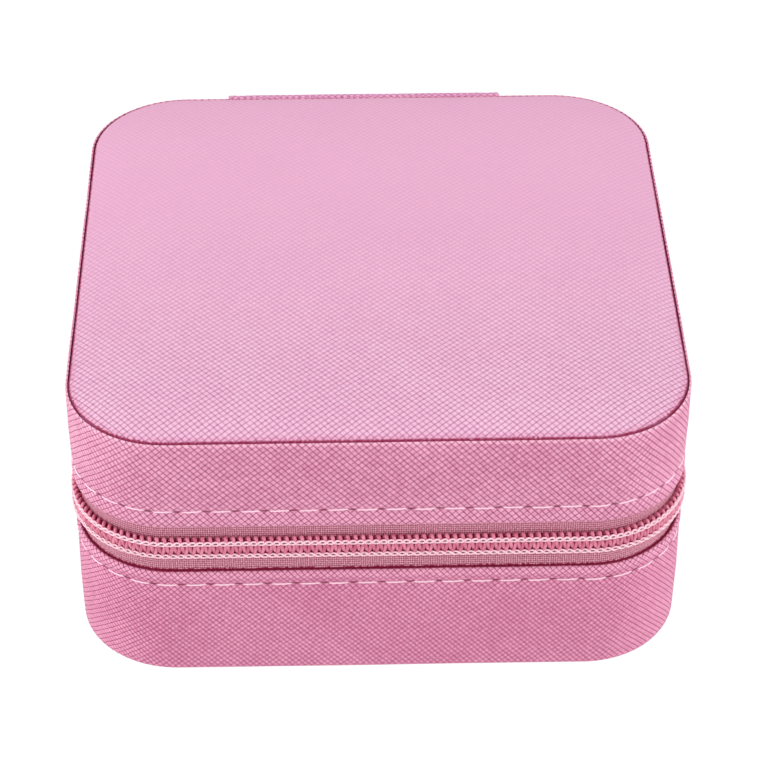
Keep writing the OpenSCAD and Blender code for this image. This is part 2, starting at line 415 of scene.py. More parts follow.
def noise_value(tree, place, size, detail=2.0):
    """A slow random value around 0.5."""
    values = {"Vector": place, "Scale": size, "Detail": detail}
    return put(tree, "ShaderNodeTexNoise", values).outputs["Fac"]


grain, g_in, g_out = new_group(
    "crosshatch grain",
    [("Place", None), ("Pitch", 0.87), ("Turn", math.radians(48.7)), ("Wander", 0.3)],
    ["Groove", "Height", "Tone"],
)
place = shifted(grain, g_in["Place"], 0.25, g_in["Wander"])
values = {"Vector": place, "Angle": g_in["Turn"]}
turned = put(grain, "ShaderNodeVectorRotate", values, rotation_type="Z_AXIS")
axes = put(grain, "ShaderNodeSeparateXYZ", {0: turned.outputs[0]})
fray = noise_value(grain, g_in["Place"], 2.1, 3.0)
fray = calc(grain, "MULTIPLY", calc(grain, "SUBTRACT", fray, 0.5), 0.30)
waves = []
cells = []
for axis in ("X", "Y"):
    lines = calc(grain, "DIVIDE", axes.outputs[axis], g_in["Pitch"])
    cells.append(calc(grain, "FLOOR", lines))
    share = calc(grain, "FRACT", lines)
    from_middle = calc(grain, "ABSOLUTE", calc(grain, "SUBTRACT", share, 0.5))
    waves.append(calc(grain, "ADD", calc(grain, "MULTIPLY", from_middle, 2.0), fray))
cuts = [ramp(grain, wave, 0.76, 0.95) for wave in waves]
faint = ramp(grain, noise_value(grain, g_in["Place"], 0.7), 0.25, 0.7, 0.65, 1.0)
groove = calc(grain, "MAXIMUM", cuts[0], calc(grain, "MULTIPLY", cuts[1], faint))
pillow = []
for wave in waves:
    steep = calc(grain, "POWER", calc(grain, "ABSOLUTE", wave), 3.5)
    pillow.append(calc(grain, "SUBTRACT", 1.0, steep, clamp=True))
height = calc(grain, "MULTIPLY", pillow[0], pillow[1])
cell = put(grain, "ShaderNodeCombineXYZ", {"X": cells[0], "Y": cells[1]})
values = {"Vector": cell.outputs[0]}
tone = put(grain, "ShaderNodeTexWhiteNoise", values, noise_dimensions="2D").outputs["Value"]
grit = ramp(grain, noise_value(grain, g_in["Place"], 5.0, 3.0), 0.35, 0.68)
tone = calc(grain, "ADD", calc(grain, "MULTIPLY", tone, 0.5), calc(grain, "MULTIPLY", grit, 0.5))
grain.links.new(groove, g_out["Groove"])
grain.links.new(height, g_out["Height"])
grain.links.new(tone, g_out["Tone"])
print("crosshatch grain:", len(grain.nodes), "boxes")

# %% [markdown]
# Handling leaves slow patches of lighter and darker colour on any covering. The same group gives
# the leather its patches and the velvet its brushed look, only at another scale.

# %% Group: handling
handling, g_in, g_out = new_group("handling", [("Place", None), ("Size", 18.0)], ["Tone"])
shrunk = scaled(handling, g_in["Place"], calc(handling, "DIVIDE", 1.0, g_in["Size"]))
patches = noise_value(handling, shrunk, 1.0, 3.0)
handling.links.new(ramp(handling, patches, 0.3, 0.7), g_out["Tone"])

# %% [markdown]
# Where the needle goes through, each stitch pulls the leather into a small dent at its ends,
# which lies in shade. Modelling some hundred and fifty dents would tear up the clean bands, so
# each dent is painted dark, as painted shade, and dented by rule: one spot each stitch length, on
# the seam's own line.

# %% Group: needle holes
needle, g_in, g_out = new_group(
    "needle holes",
    [("Place", None), ("Pitch", STITCH_PITCH), ("Start", 0.0), ("Line", 0.0)],
    ["Hole"],
)
axes = put(needle, "ShaderNodeSeparateXYZ", {0: g_in["Place"]})
along = calc(needle, "SUBTRACT", axes.outputs["X"], g_in["Start"])
along = calc(needle, "ADD", calc(needle, "DIVIDE", along, g_in["Pitch"]), 0.5)
share = calc(needle, "FRACT", along)
from_hole = calc(needle, "ABSOLUTE", calc(needle, "SUBTRACT", share, 0.5))
from_hole = calc(needle, "MULTIPLY", calc(needle, "MULTIPLY", from_hole, g_in["Pitch"]), 0.42)
from_line = calc(needle, "SUBTRACT", axes.outputs["Y"], g_in["Line"])
from_line = calc(needle, "MULTIPLY", calc(needle, "SUBTRACT", from_line, 0.12), 1.5)
squares = [calc(needle, "POWER", part, 2.0) for part in (from_hole, from_line)]
distance = calc(needle, "SQRT", calc(needle, "ADD", squares[0], squares[1]))
needle.links.new(ramp(needle, distance, 0.20, 0.38, 1.0, 0.0), g_out["Hole"])

# %% [markdown]
# Leather catches the light where it is folded, and where two parts meet the crease between them
# lies in shade: a pale painted highlight and a dark painted shadow stand in for both. Both run
# in lines along the case, so one group marks a soft band at a given distance across a surface,
# with a slightly ragged edge.

# %% Group: line mark
line_mark, g_in, g_out = new_group(
    "line mark",
    [("Place", None), ("Across", 0.0), ("Line", 0.0), ("Width", 1.0), ("Ragged", 0.3)],
    ["Mark"],
)
rough = calc(line_mark, "SUBTRACT", noise_value(line_mark, g_in["Place"], 2.6, 3.0), 0.5)
rough = calc(line_mark, "MULTIPLY", rough, g_in["Ragged"])
rough = calc(line_mark, "MULTIPLY", rough, g_in["Width"])
off = calc(line_mark, "ABSOLUTE", calc(line_mark, "SUBTRACT", g_in["Across"], g_in["Line"]))
off = calc(line_mark, "DIVIDE", calc(line_mark, "ADD", off, rough), g_in["Width"])
line_mark.links.new(ramp(line_mark, off, 0.58, 1.0, 1.0, 0.0), g_out["Mark"])

# %% [markdown]
# The leather itself: rosy pink diamonds, mauve grooves where dye and shadow gather, and a satin
# finish that is a little glossier on the raised diamonds, which hands have polished. Each panel
# has its own three shades: the top's are paler and greyer and the base band's a little darker,
# painted light and shade for how the light falls on each.

# %% Leather finish
# Paler, greyer shades on the top and darker ones on the base band are painted light and shade.
LID_SHADES = (screen(200, 118, 153), screen(242, 178, 205), screen(124, 4, 62))
BASE_SHADES = (screen(198, 111, 149), screen(236, 162, 191), screen(124, 6, 62))
TOP_SHADES = (screen(204, 151, 179), screen(218, 177, 199), screen(142, 70, 110))
# A pale painted highlight for the folds and the lip.
FOLD_HIGHLIGHT = screen(243, 184, 208)
SHADOW_RED = screen(132, 4, 54)
# Painted shade for the insides of the needle holes.
HOLE_SHADE = screen(122, 12, 54)


def add_lines(tree, colour, place, across, lines):
    """Lays soft lines over a colour. Each is (across, width, ragged, strength, colour, faces),
    where faces is "front" for a line that light only shows on the front."""
    for line, width, ragged, strength, tint, faces in lines:
        values = {"Place": place, "Across": across, "Line": line, "Width": width, "Ragged": ragged}
        mark = calc(tree, "MULTIPLY", use_group(tree, line_mark, values)["Mark"], strength)
        if faces == "front":
            depth = axis_of(tree, solid_place(tree), "Y")
            mark = calc(tree, "MULTIPLY", mark, ramp(tree, depth, -44.0, -8.0, 1.0, 0.0))
        colour = blend_colours(tree, mark, colour, tint)
    return colour


def leather_finish(
    name, shades, pitch, turn=41.3, relief=0.09, seam=None, lines=(), across=None, flattened_and_shaded=None
):
    """Crosshatched leather. seam is the line that a row of needle holes runs on, across names
    what the lines are measured by, if not the surface's own height, and the last argument is a
    pair of distances over which the grain fades nearly flat and the colour is painted darker, as
    painted shade."""
    material, tree = new_material(name)
    place = surface_place(tree)
    values = {"Place": place, "Pitch": pitch, "Turn": math.radians(turn), "Wander": 0.3}
    hatch = use_group(tree, grain, values)
    patch = use_group(tree, handling, {"Place": place, "Size": 17.0})["Tone"]
    share = calc(tree, "MULTIPLY_ADD", hatch["Tone"], 0.54, 0.13)
    share = calc(tree, "ADD", share, calc(tree, "MULTIPLY", patch, 0.22))
    groove = calc(tree, "MULTIPLY", hatch["Groove"], 0.98)
    height = calc(tree, "MULTIPLY", hatch["Height"], relief)
    # Over this span the grain fades and the colour is pulled towards the deeper shade, as painted
    # shade.
    if flattened_and_shaded is not None:
        left = ramp(tree, axis_of(tree, place, "Y"), flattened_and_shaded[0], flattened_and_shaded[1], 1.0, 0.22)
        groove = calc(tree, "MULTIPLY", groove, left)
        height = calc(tree, "MULTIPLY", height, left)
        even = calc(tree, "SUBTRACT", share, 0.5)
        middle = ramp(tree, left, 0.2, 1.0, 0.1, 0.5)
        share = calc(tree, "ADD", calc(tree, "MULTIPLY", even, left), middle)
    colour = blend_colours(tree, share, shades[0], shades[1])
    if across is None:
        across = axis_of(tree, place, "Y")
    else:
        across = put(tree, "ShaderNodeAttribute", attribute_name=across).outputs["Fac"]
    colour = add_lines(tree, colour, place, across, lines)
    colour = blend_colours(tree, groove, colour, shades[2])
    if seam is not None:
        values = {"Place": place, "Pitch": STITCH_PITCH, "Start": STITCH_START, "Line": seam}
        hole = use_group(tree, needle, values)["Hole"]
        # Each needle hole is painted dark as its shade, and dented.
        colour = blend_colours(tree, calc(tree, "MULTIPLY", hole, 0.85), colour, HOLE_SHADE)
        height = calc(tree, "SUBTRACT", height, calc(tree, "MULTIPLY", hole, 0.12))
    rough = ramp(tree, hatch["Groove"], 0.0, 1.0, 0.5, 0.68)
    return wire_shader(material, colour, height, {"Roughness": rough, "Specular IOR Level": 0.2})


# %% [markdown]
# Each piece is dressed with its material and the body that it rides on, and the plain working
# parts that it takes the place of are hidden.

# %% Dressing a piece
def dress(piece, material, slot, body=None, *replaced):
    """Gives a piece its material and its body, and hides the working parts that it stands for.
    The slot is not used.
    """
    piece.data.materials.clear()
    piece.data.materials.append(material)
    if body:
        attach(piece, body)
    if replaced:
        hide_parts(*replaced)
    print(f"{piece.name}: {len(piece.data.polygons)} faces, on {body or 'two bodies'}")
    return piece


def cover_node(node, material):
    """Gives a working part that stays in view its material."""
    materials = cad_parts[node].data.materials
    materials.clear()
    materials.append(material)


# %% [markdown]
# ## The two side bands
# Each half has one strip of leather wrapped round its frame. At the zip the edge is turned back
# on itself and stitched down, which makes a soft, slightly thicker lip and a shallow valley along
# the seam. A flat strip with a bump would catch no light there, so the lip, the valley and the
# turned edge are all in the profile that is carried round the case.

# %% Lower band
EDGE_LOW = base_high[2] - 0.9
EDGE_HIGH = lid_low[2] + 0.25


def band_profile(foot, seam, edge, side):
    """The closed (out, z) outline of a band. side is 1 when the band goes up from foot to edge."""
    corners = [
        (-3.0, foot + side * 0.15, 0.0),
        (0.04, foot + side * 0.03, 0.45),
        (0.16, foot + side * 9.0, 6.0),
        (0.02, seam - side * 1.4, 1.2),
        (-0.13, seam, 0.7),
        (0.05, seam + side * 1.2, 0.9),
        (0.12, edge - side * 1.2, 0.8),
        (0.02, edge + side * 0.02, 0.5),
        (-0.93, edge + side * 0.05, 0.4),
        (-1.0, seam, 0.0),
        (-1.02, foot + side * 2.2, 0.0),
        (-3.0, foot + side * 1.6, 0.0),
    ]
    return subdivided(rounded(corners), 1.6)


def profile_places(profile, level):
    """Distances along a profile, shifted so that they read as heights at the outside."""
    places = lengths_along(profile)
    inside = np.abs(np.minimum(profile[:, 0], 0))
    nearest = np.argmin(np.abs(profile[:, 1] - level) + 4 * inside)
    ahead = profile[(nearest + 1) % len(profile), 1]
    direction = 1 if ahead > profile[nearest, 1] else -1
    return level + direction * (places - places[nearest])


def place_near(profile, places, out, z):
    """The surface distance of the profile point nearest to (out, z)."""
    return float(places[np.argmin(np.hypot(profile[:, 0] - out, profile[:, 1] - z))])


SEAM_LOW = ZIP_Z - SEAM_GAP
SEAM_HIGH = ZIP_Z + SEAM_GAP
STITCH_START = SPINE_RIGHT
lower_profile = band_profile(base_low[2] - 0.15, SEAM_LOW, EDGE_LOW, 1)
lower_places = profile_places(lower_profile, SEAM_LOW)
lower_band = band_round(
    "base_side_leather", lower_profile, lower_places, swell_height=0.10, seed=3.0
)
fold = place_near(lower_profile, lower_places, 0.05, EDGE_LOW - 0.5)
crease = place_near(lower_profile, lower_places, -0.75, EDGE_LOW)
lower_leather = leather_finish(
    "leather, base band",
    BASE_SHADES,
    pitch=0.755,
    seam=SEAM_LOW,
    # The pale line on the fold is a painted highlight, on the front only; the dark line in the
    # crease between fold and tape is painted shadow.
    lines=[
        (fold, 1.0, 1.2, 0.30, FOLD_HIGHLIGHT, "front"),
        (crease, 0.5, 0.9, 0.9, SHADOW_RED, "all"),
    ],
)
dress(lower_band, lower_leather, "pink_leather", "base", "base_band", "base_padding")

# %% [markdown]
# The lid's band is the same strip turned over, except that its far edge isn't glued under the
# case. It is rolled over the rim of the lid, where it forms a narrow lip outside the groove that
# the top panel sits in. The lip is painted pale as a highlight on the front, and the groove's
# inner wall is painted dark as its shadow.

# %% Upper band
LIP_TOP = LID_TOP + 0.03


def lid_band_profile():
    """The lid band's outline: turned edge at the zip, rolled lip at the top."""
    corners = [
        (-0.93, EDGE_HIGH - 0.05, 0.4),
        (0.02, EDGE_HIGH - 0.02, 0.5),
        (0.12, EDGE_HIGH + 1.2, 0.8),
        (0.05, SEAM_HIGH - 1.2, 0.9),
        (-0.13, SEAM_HIGH, 0.7),
        (0.02, SEAM_HIGH + 1.4, 1.2),
        (0.10, SEAM_HIGH + 6.0, 4.0),
        (0.0, LIP_TOP, 0.22),
        (-0.34, LIP_TOP + 0.02, 0.15),
        (-0.42, LID_TOP - 2.9, 0.0),
        (-1.0, LID_TOP - 3.2, 0.0),
        (-1.0, SEAM_HIGH, 0.0),
    ]
    return subdivided(rounded(corners), 1.6)


upper_profile = lid_band_profile()
upper_places = profile_places(upper_profile, SEAM_HIGH)
upper_band = band_round(
    "lid_side_leather", upper_profile, upper_places, swell_height=0.10, seed=11.0
)
lip = place_near(upper_profile, upper_places, -0.1, LIP_TOP)
crease = place_near(upper_profile, upper_places, -0.4, LID_TOP - 1.8)
upper_leather = leather_finish(
    "leather, lid band",
    LID_SHADES,
    pitch=0.84,
    seam=SEAM_HIGH,
    # The pale line on the lip is a painted highlight, on the front only; the dark line on the lip's
    # inner wall is painted shadow in the groove.
    lines=[
        (lip, 0.6, 0.8, 0.6, FOLD_HIGHLIGHT, "front"),
        (crease, 1.7, 0.1, 0.95, SHADOW_RED, "all"),
    ],
)
dress(upper_band, upper_leather, "pink_leather", "lid", "lid_band", "lid_padding")

# %% [markdown]
# ## The padded top
# The lid's top is a board with foam on it and leather stretched over both. Its middle stands a
# little proud, and its edge rolls down into the groove. A subdivided cube would round all corners
# alike. Here rings of points follow the case's edge inwards, laid out like the rings of a square
# grid, so that the whole panel is even quads and its depth from the edge sets its height.

# %% Panels laid out in square rings
RING_INSETS = [0, 0.06, 0.18, 0.36, 0.62, 1.1, 1.9, 2.6, 3.5, 4.6, 6.0, 7.6, 9.5, 11.6, 14.0]


def panel_grid(out, rings=40):
    """Plan points of a panel grown by `out`, as a square grid with a round-cornered edge."""
    insets = np.array(RING_INSETS) * min(1, (CORNER + out - 0.8) / RING_INSETS[-1])
    outer = len(insets) - 1
    grid = np.zeros((2 * rings + 1, 2 * rings + 1, 2))
    for i in range(-rings, rings + 1):
        for j in range(-rings, rings + 1):
            ring = max(abs(i), abs(j))
            if ring == 0:
                continue
            if j == ring and i < ring:
                step = i + ring
            elif i == ring:
                step = 2 * ring + ring - j
            elif j == -ring:
                step = 4 * ring + ring - i
            else:
                step = 6 * ring + j + ring
            walk = step / (8 * ring) * LAP - LAP / 8
            from_edge = rings - ring
            if from_edge <= outer:
                point, _ = around(walk, out - insets[from_edge])
            else:
                point, _ = around(walk, out - insets[outer])
                point = point * ring / (rings - outer)
            grid[i + rings, j + rings] = point
    return grid


def panel(name, out, height, skirt, swell_height=0.0, seed=0.0, rings=40):
    """A panel whose height is a function of the depth from its edge, with a skirt of
    (out, z) rows round it and a flat back."""
    plan = panel_grid(out, rings)
    count = plan.shape[0]
    depth = depth_inside(plan[..., 0], plan[..., 1], out)
    points = np.concatenate([plan, height(depth)[..., None]], -1)
    if swell_height:
        points[..., 2] += swell(points, swell_height, 16.0, seed) * np.clip(depth / 6, 0, 1)
    ticks = np.arange(count)
    faces, _ = skin(points, ticks, ticks)
    surface = [tuple(plan.reshape(-1, 2)[v]) for face in faces for v in face]
    cloud = [points.reshape(-1, 3)]
    rim = [(i, count - 1) for i in range(count - 1)]
    rim += [(count - 1, j) for j in range(count - 1, 0, -1)]
    rim += [(i, 0) for i in range(count - 1, 0, -1)]
    rim += [(0, j) for j in range(count - 1)]
    upper = [i * count + j for i, j in rim]
    depths = [depth.reshape(-1)]
    walks = np.arange(len(rim)) / len(rim) * LAP - LAP / 8
    start = count * count
    for row_out, row_z in skirt:
        ring_points, _ = around(walks, row_out)
        cloud.append(np.column_stack([ring_points, np.full(len(walks), row_z)]))
        lower = list(range(start, start + len(rim)))
        for k in range(len(rim)):
            n = (k + 1) % len(rim)
            faces.append([upper[k], upper[n], lower[n], lower[k]])
            for v in (k, n, n, k):
                surface.append(tuple(ring_points[v]))
        depths.append(np.full(len(walks), row_out - out))
        upper = lower
        start += len(rim)
    piece = finish_mesh(name, np.vstack(cloud), faces, surface, [upper])
    layer = piece.data.attributes.new("edge", "FLOAT", "POINT")
    layer.data.foreach_set("value", np.concatenate(depths).astype(np.float32))
    return piece


# %% [markdown]
# Foam under stretched leather rises quickly at the rim and then hardly at all, so the height is a
# quarter round followed by a crown that levels out. Towards the back the grain fades nearly flat
# and the leather is painted darker, painted shade where the top gets less light. Cloth simulation
# could swell the panel, but the leather is glued tight and keeps the shape that the foam was cut
# to.

# %% Top panel
TOP_OUT = -0.46
TOP_ROLL = 0.45
TOP_CROWN = 1.85


def rolled_edge(depth, reach):
    """A quarter round: 0 at the rim and 1 from `reach` inwards."""
    return np.sqrt(np.clip(1 - (1 - np.clip(depth / reach, 0, 1)) ** 2, 0, 1))


def top_height(depth):
    """A quick roll up from the groove, then a crown that soon levels out."""
    crown = 1 - np.exp(-np.maximum(depth, 0) / 6.5)
    return LID_TOP - 0.27 + TOP_ROLL * rolled_edge(depth, 0.6) + TOP_CROWN * crown


top = panel(
    "lid_top_leather",
    TOP_OUT,
    top_height,
    [(TOP_OUT, LID_TOP - 1.8), (TOP_OUT - 0.1, LID_TOP - 2.7)],
    swell_height=0.2,
    seed=7.0,
)
top_leather = leather_finish(
    "leather, lid top",
    TOP_SHADES,
    pitch=0.865,
    turn=49.0,
    relief=0.06,
    # A deeper pink along the front of the roll is painted shade, where the roll turns away from the
    # overhead light, and the dark line at the rim is painted shadow in the groove.
    lines=[
        (0.45, 0.7, 0.8, 0.35, LID_SHADES[0], "front"),
        (-0.05, 0.46, 1.8, 0.97, SHADOW_RED, "all"),
    ],
    across="edge",
    flattened_and_shaded=(-46.0, 22.0),
)
dress(top, top_leather, "pink_leather", "lid", "lid_top_cover", "lid_top_padding", "lid_top_board")

# %% [markdown]
# ## The underside
# The bottom is covered last, with a plain cut panel glued over the turned-in edges of the band.
# It lies flat on the table, so only its rim is rounded.

# %% Bottom panel
def bottom_height(depth):
    """Flat, with a small roll at the rim."""
    return 0.45 * (1 - rolled_edge(depth, 0.8))


bottom = panel("base_bottom_leather", -1.2, bottom_height, [(-1.2, 0.8), (-1.5, 1.0)], rings=32)
bottom_leather = leather_finish("leather, underside", BASE_SHADES, pitch=0.8)
dress(bottom, bottom_leather, "pink_leather", "base", "base_bottom_cover")

# %% [markdown]
# ## Zip tapes
# Each half of the zip is a woven tape, glued between the leather and the frame, with its coil on
# the bare edge. The tape looks greyer than the leather because light goes into the mesh between
# its threads. The weave is far too fine to model, so it is a group: warp and weft that take turns
# at the surface.

# %% Group: weave
weave, g_in, g_out = new_group(
    "weave", [("Place", None), ("Pitch", 0.4)], ["Gap", "Height", "Tone"]
)
loose = shifted(weave, g_in["Place"], 0.8, 0.12)
axes = put(weave, "ShaderNodeSeparateXYZ", {0: loose})
warp = calc(weave, "DIVIDE", axes.outputs["X"], g_in["Pitch"])
weft = calc(weave, "DIVIDE", axes.outputs["Y"], calc(weave, "MULTIPLY", g_in["Pitch"], 1.2))
ridges = []
for threads in (warp, weft):
    angle = calc(weave, "MULTIPLY", calc(weave, "FRACT", threads), math.pi)
    ridges.append(calc(weave, "SINE", angle))
steps = calc(weave, "ADD", calc(weave, "FLOOR", warp), calc(weave, "FLOOR", weft))
turn_about = calc(weave, "MULTIPLY", calc(weave, "FRACT", calc(weave, "MULTIPLY", steps, 0.5)), 2.0)
on_top = calc(weave, "MULTIPLY", turn_about, ridges[0])
below = calc(weave, "MULTIPLY", calc(weave, "SUBTRACT", 1.0, turn_about), ridges[1])
height = calc(weave, "ADD", on_top, below)
gap = calc(weave, "SUBTRACT", 1.0, calc(weave, "MAXIMUM", ridges[0], ridges[1]))
weave.links.new(ramp(weave, gap, 0.05, 0.3), g_out["Gap"])
weave.links.new(height, g_out["Height"])
weave.links.new(ramp(weave, noise_value(weave, g_in["Place"], 2.6), 0.3, 0.7), g_out["Tone"])

# %% [markdown]
# The dye of the tape, the nylon and the cords is a deep red, and light that has gone through a
# little of it comes out red again, so the gaps of a zip are maroon and not black. Real scattering
# would be slow on such thin parts; a faint red glow on them, painted light, stands in for it.

# %% Tape finish
TAPE_DULL = screen(150, 84, 106)
TAPE_LIT = screen(238, 176, 194)
COIL_SHADE = screen(158, 20, 68)
PAINTED_RED_GLOW = screen(196, 20, 84)


def tape_finish(name, lines):
    """Fine woven tape, greyish pink, with painted shade in its gaps and where parts lie against it.
    """
    material, tree = new_material(name)
    place = surface_place(tree)
    cloth = use_group(tree, weave, {"Place": place, "Pitch": 0.36})
    share = calc(tree, "MULTIPLY", cloth["Height"], ramp(tree, cloth["Tone"], 0, 1, 0.45, 1.0))
    colour = blend_colours(tree, share, TAPE_DULL, TAPE_LIT)
    # Painted shade in the gaps between the threads.
    colour = blend_colours(tree, calc(tree, "MULTIPLY", cloth["Gap"], 0.6), colour, SHADOW_RED)
    colour = add_lines(tree, colour, place, axis_of(tree, place, "Y"), lines)
    values = {
        "Roughness": 0.55,
        "Specular IOR Level": 0.2,
        "Sheen Weight": 0.3,
        "Sheen Roughness": 0.3,
        "Sheen Tint": TAPE_LIT,
        "Emission Color": PAINTED_RED_GLOW,
        "Emission Strength": 0.04,
    }
    return wire_shader(material, colour, calc(tree, "MULTIPLY", cloth["Height"], 0.07), values)


# %% [markdown]
# Both tapes run round three sides and end behind the spine. The dark lines are painted shade:
# where the coil lies on the tape, and where the lower band's edge does.

# %% The two tapes
TAPE_OUT = -0.80
TAPE_RUN = (SPINE_RIGHT - 2.0, SPINE_LEFT + 2.0)
HALVES = ((-1, "lower", "base"), (1, "upper", "lid"))


def tape_profile(side):
    """The tape's (out, z) outline, from its bare edge to its glued edge."""
    corners = [
        (TAPE_OUT, ZIP_Z + side * 0.12, 0.12),
        (TAPE_OUT, ZIP_Z + side * 9.5, 0.12),
        (TAPE_OUT - 0.42, ZIP_Z + side * 9.5, 0.12),
        (TAPE_OUT - 0.42, ZIP_Z + side * 0.12, 0.12),
    ]
    return subdivided(rounded(corners, 2), 1.2)


for side, half, body in HALVES:
    profile = tape_profile(side)
    tape = band_round(
        f"zip_tape_{half}", profile, profile_places(profile, ZIP_Z + side * 4), run=TAPE_RUN
    )
    # Painted shade where the coil lies on the tape and, on the lower tape, under the band's edge.
    dark = [(ZIP_Z + side * 0.7, 1.5, 0.15, 0.95, COIL_SHADE, "all")]
    if side < 0:
        dark.append((ZIP_Z - 5.58, 0.5, 2.6, 1.0, SHADOW_RED, "all"))
    dress(tape, tape_finish(f"tape, {half}", dark), "zip_tape", body, f"zipper_tape_{half}")

# %% [markdown]
# ## The zip's coils
# A coil zip is one nylon filament wound like a flattened spring, sewn along the tape. Each turn
# pokes out a small rounded head that hooks behind the heads of the other half. One turn is drawn
# as a list of places, and is repeated all round the case; the other coil is its mirror
# image, half a turn along. Single teeth would be easier, but they would not be what holds a zip.

# %% Tubes along a path
def tube(path, reference, radius, sides=6):
    """Rings of points round a path. reference is a direction, or one direction for each point,
    that the path never quite follows."""
    tangent = np.gradient(path, axis=0)
    tangent /= np.linalg.norm(tangent, axis=1)[:, None]
    first = reference - tangent * np.sum(reference * tangent, axis=1)[:, None]
    first /= np.linalg.norm(first, axis=1)[:, None]
    second = np.cross(tangent, first)
    angles = np.arange(sides) / sides * TURN
    spokes = (
        np.cos(angles)[None, :, None] * first[:, None, :]
        + np.sin(angles)[None, :, None] * second[:, None, :]
    )
    return path[:, None, :] + np.asarray(radius).reshape(-1, 1, 1) * spokes


UPRIGHT = np.array([0.0, 0.0, 1.0])


class Strands:
    """Collects many tubes into one piece."""

    def __init__(self):
        self.points, self.faces, self.surface, self.caps = [], [], [], []
        self.count = 0

    def add(self, path, reference, radius, sides=6):
        """One more tube, closed at both ends."""
        rings = tube(path, reference, radius, sides)
        along = lengths_along(path, closed=False)
        girth = np.arange(sides + 1) / sides * TURN * float(np.mean(radius))
        faces, surface = skin(rings, along, girth, loop_v=True, start=self.count)
        self.faces += faces
        self.surface += surface
        last = self.count + (len(path) - 1) * sides
        self.caps.append(list(range(self.count, self.count + sides)))
        self.caps.append(list(range(last, last + sides)))
        self.points.append(rings.reshape(-1, 3))
        self.count += rings.shape[0] * sides

    def finish(self, name):
        """The piece that all the tubes make."""
        return finish_mesh(name, np.vstack(self.points), self.faces, self.surface, self.caps)


def along_case(walk, out, z):
    """Points at a walk, out and height, and the walk's own direction there."""
    point, normal = around(walk, out)
    path = np.column_stack([point, z])
    direction = np.column_stack([normal[:, 1], -normal[:, 0], np.zeros(len(path))])
    return path, direction


# %% [markdown]
# Seen from the front, one turn comes forward from the tape, crosses the zip's line as a thick head
# and goes back under itself. Behind the slider the zip is open, so there the two halves stand a
# little apart.

# %% Coils
FILAMENT = 0.33
TURN_OF_COIL = np.array(
    [  # share of a tooth, height from the zip's line, height over the tape, thickness
        (0.44, 2.02, 0.62, 0.95),
        (0.34, 1.45, 0.88, 0.95),
        (0.18, 0.75, 0.95, 1.00),
        (0.03, 0.00, 0.93, 1.10),
        (-0.07, -0.45, 0.84, 1.12),
        (-0.12, -0.68, 0.62, 1.10),
        (-0.10, -0.45, 0.42, 1.00),
        (-0.09, 0.30, 0.31, 0.95),
        (-0.18, 1.10, 0.30, 0.90),
        (-0.33, 1.70, 0.32, 0.90),
        (-0.47, 2.02, 0.42, 0.92),
        (-0.54, 2.05, 0.52, 0.95),
    ]
)
ROW_HEIGHT = 1.27
COIL_START = SPINE_RIGHT + 2.6
COIL_END = SPINE_LEFT - 2.6
TEETH = int((COIL_END - COIL_START) / TOOTH_PITCH)


def parted(walk):
    """How far the two halves stand apart behind the slider."""
    f = np.clip((SLIDER_WALK + 0.5 - walk) / 4.0, 0, 1)
    return 0.38 * f * f * (3 - 2 * f)


def coil(side):
    """One filament, wound tooth after tooth towards the zip's closed end."""
    shift = 0.5 if side < 0 else 0.0
    teeth = np.arange(TEETH)[:, None]
    walk = COIL_END - TOOTH_PITCH * (teeth + shift - TURN_OF_COIL[None, :, 0])
    walk = walk.reshape(-1)
    rise = np.tile(TURN_OF_COIL[:, 1], TEETH) + parted(walk)
    out = TAPE_OUT + np.tile(TURN_OF_COIL[:, 2], TEETH)
    path, direction = along_case(walk, out, ZIP_Z + side * rise)
    strands = Strands()
    strands.add(path, direction, FILAMENT * np.tile(TURN_OF_COIL[:, 3], TEETH))
    return strands


def core_cord(side):
    """The soft filler cord that runs inside a coil and takes the sewing thread."""
    walk = np.arange(COIL_START, COIL_END, 1.0)
    rise = ROW_HEIGHT + parted(walk)
    path, direction = along_case(walk, np.full(len(walk), TAPE_OUT + 0.66), ZIP_Z + side * rise)
    strands = Strands()
    strands.add(path, UPRIGHT, 0.34, sides=8)
    return strands


# %% [markdown]
# The filament is smooth and glossy, and the dye has taken unevenly, so its shade wanders from
# tooth to tooth.

# %% Coil finish
def coil_finish():
    """Dyed nylon: deep rose, glossy, darker where the dye pooled."""
    material, tree = new_material("coil nylon")
    place = surface_place(tree)
    patch = use_group(tree, handling, {"Place": place, "Size": 1.6})["Tone"]
    colour = blend_colours(tree, patch, screen(180, 82, 112), screen(214, 132, 156))
    fine = noise_value(tree, place, 3.0)
    # The faint red glow is painted light that stands in for light scattered in the nylon.
    values = {"Roughness": 0.28, "Emission Color": PAINTED_RED_GLOW, "Emission Strength": 0.07}
    return wire_shader(material, colour, fine, values, strength=0.4, depth=MM * 0.1)


nylon = coil_finish()
for side, half, body in HALVES:
    piece = coil(side).finish(f"zip_coil_{half}")
    dress(piece, nylon, "zip_coil", body, f"zipper_coil_{half}")
print(TEETH, "teeth on each coil")

# %% [markdown]
# Two pale threads are chain-stitched over each coil and hold it to the tape. They cross once per
# tooth, and between crossings they leave a small eye, where the gap of the coil shows, darkened by
# the filler cord's painted shade: that row of dark dots is what makes a coil zip look like one.

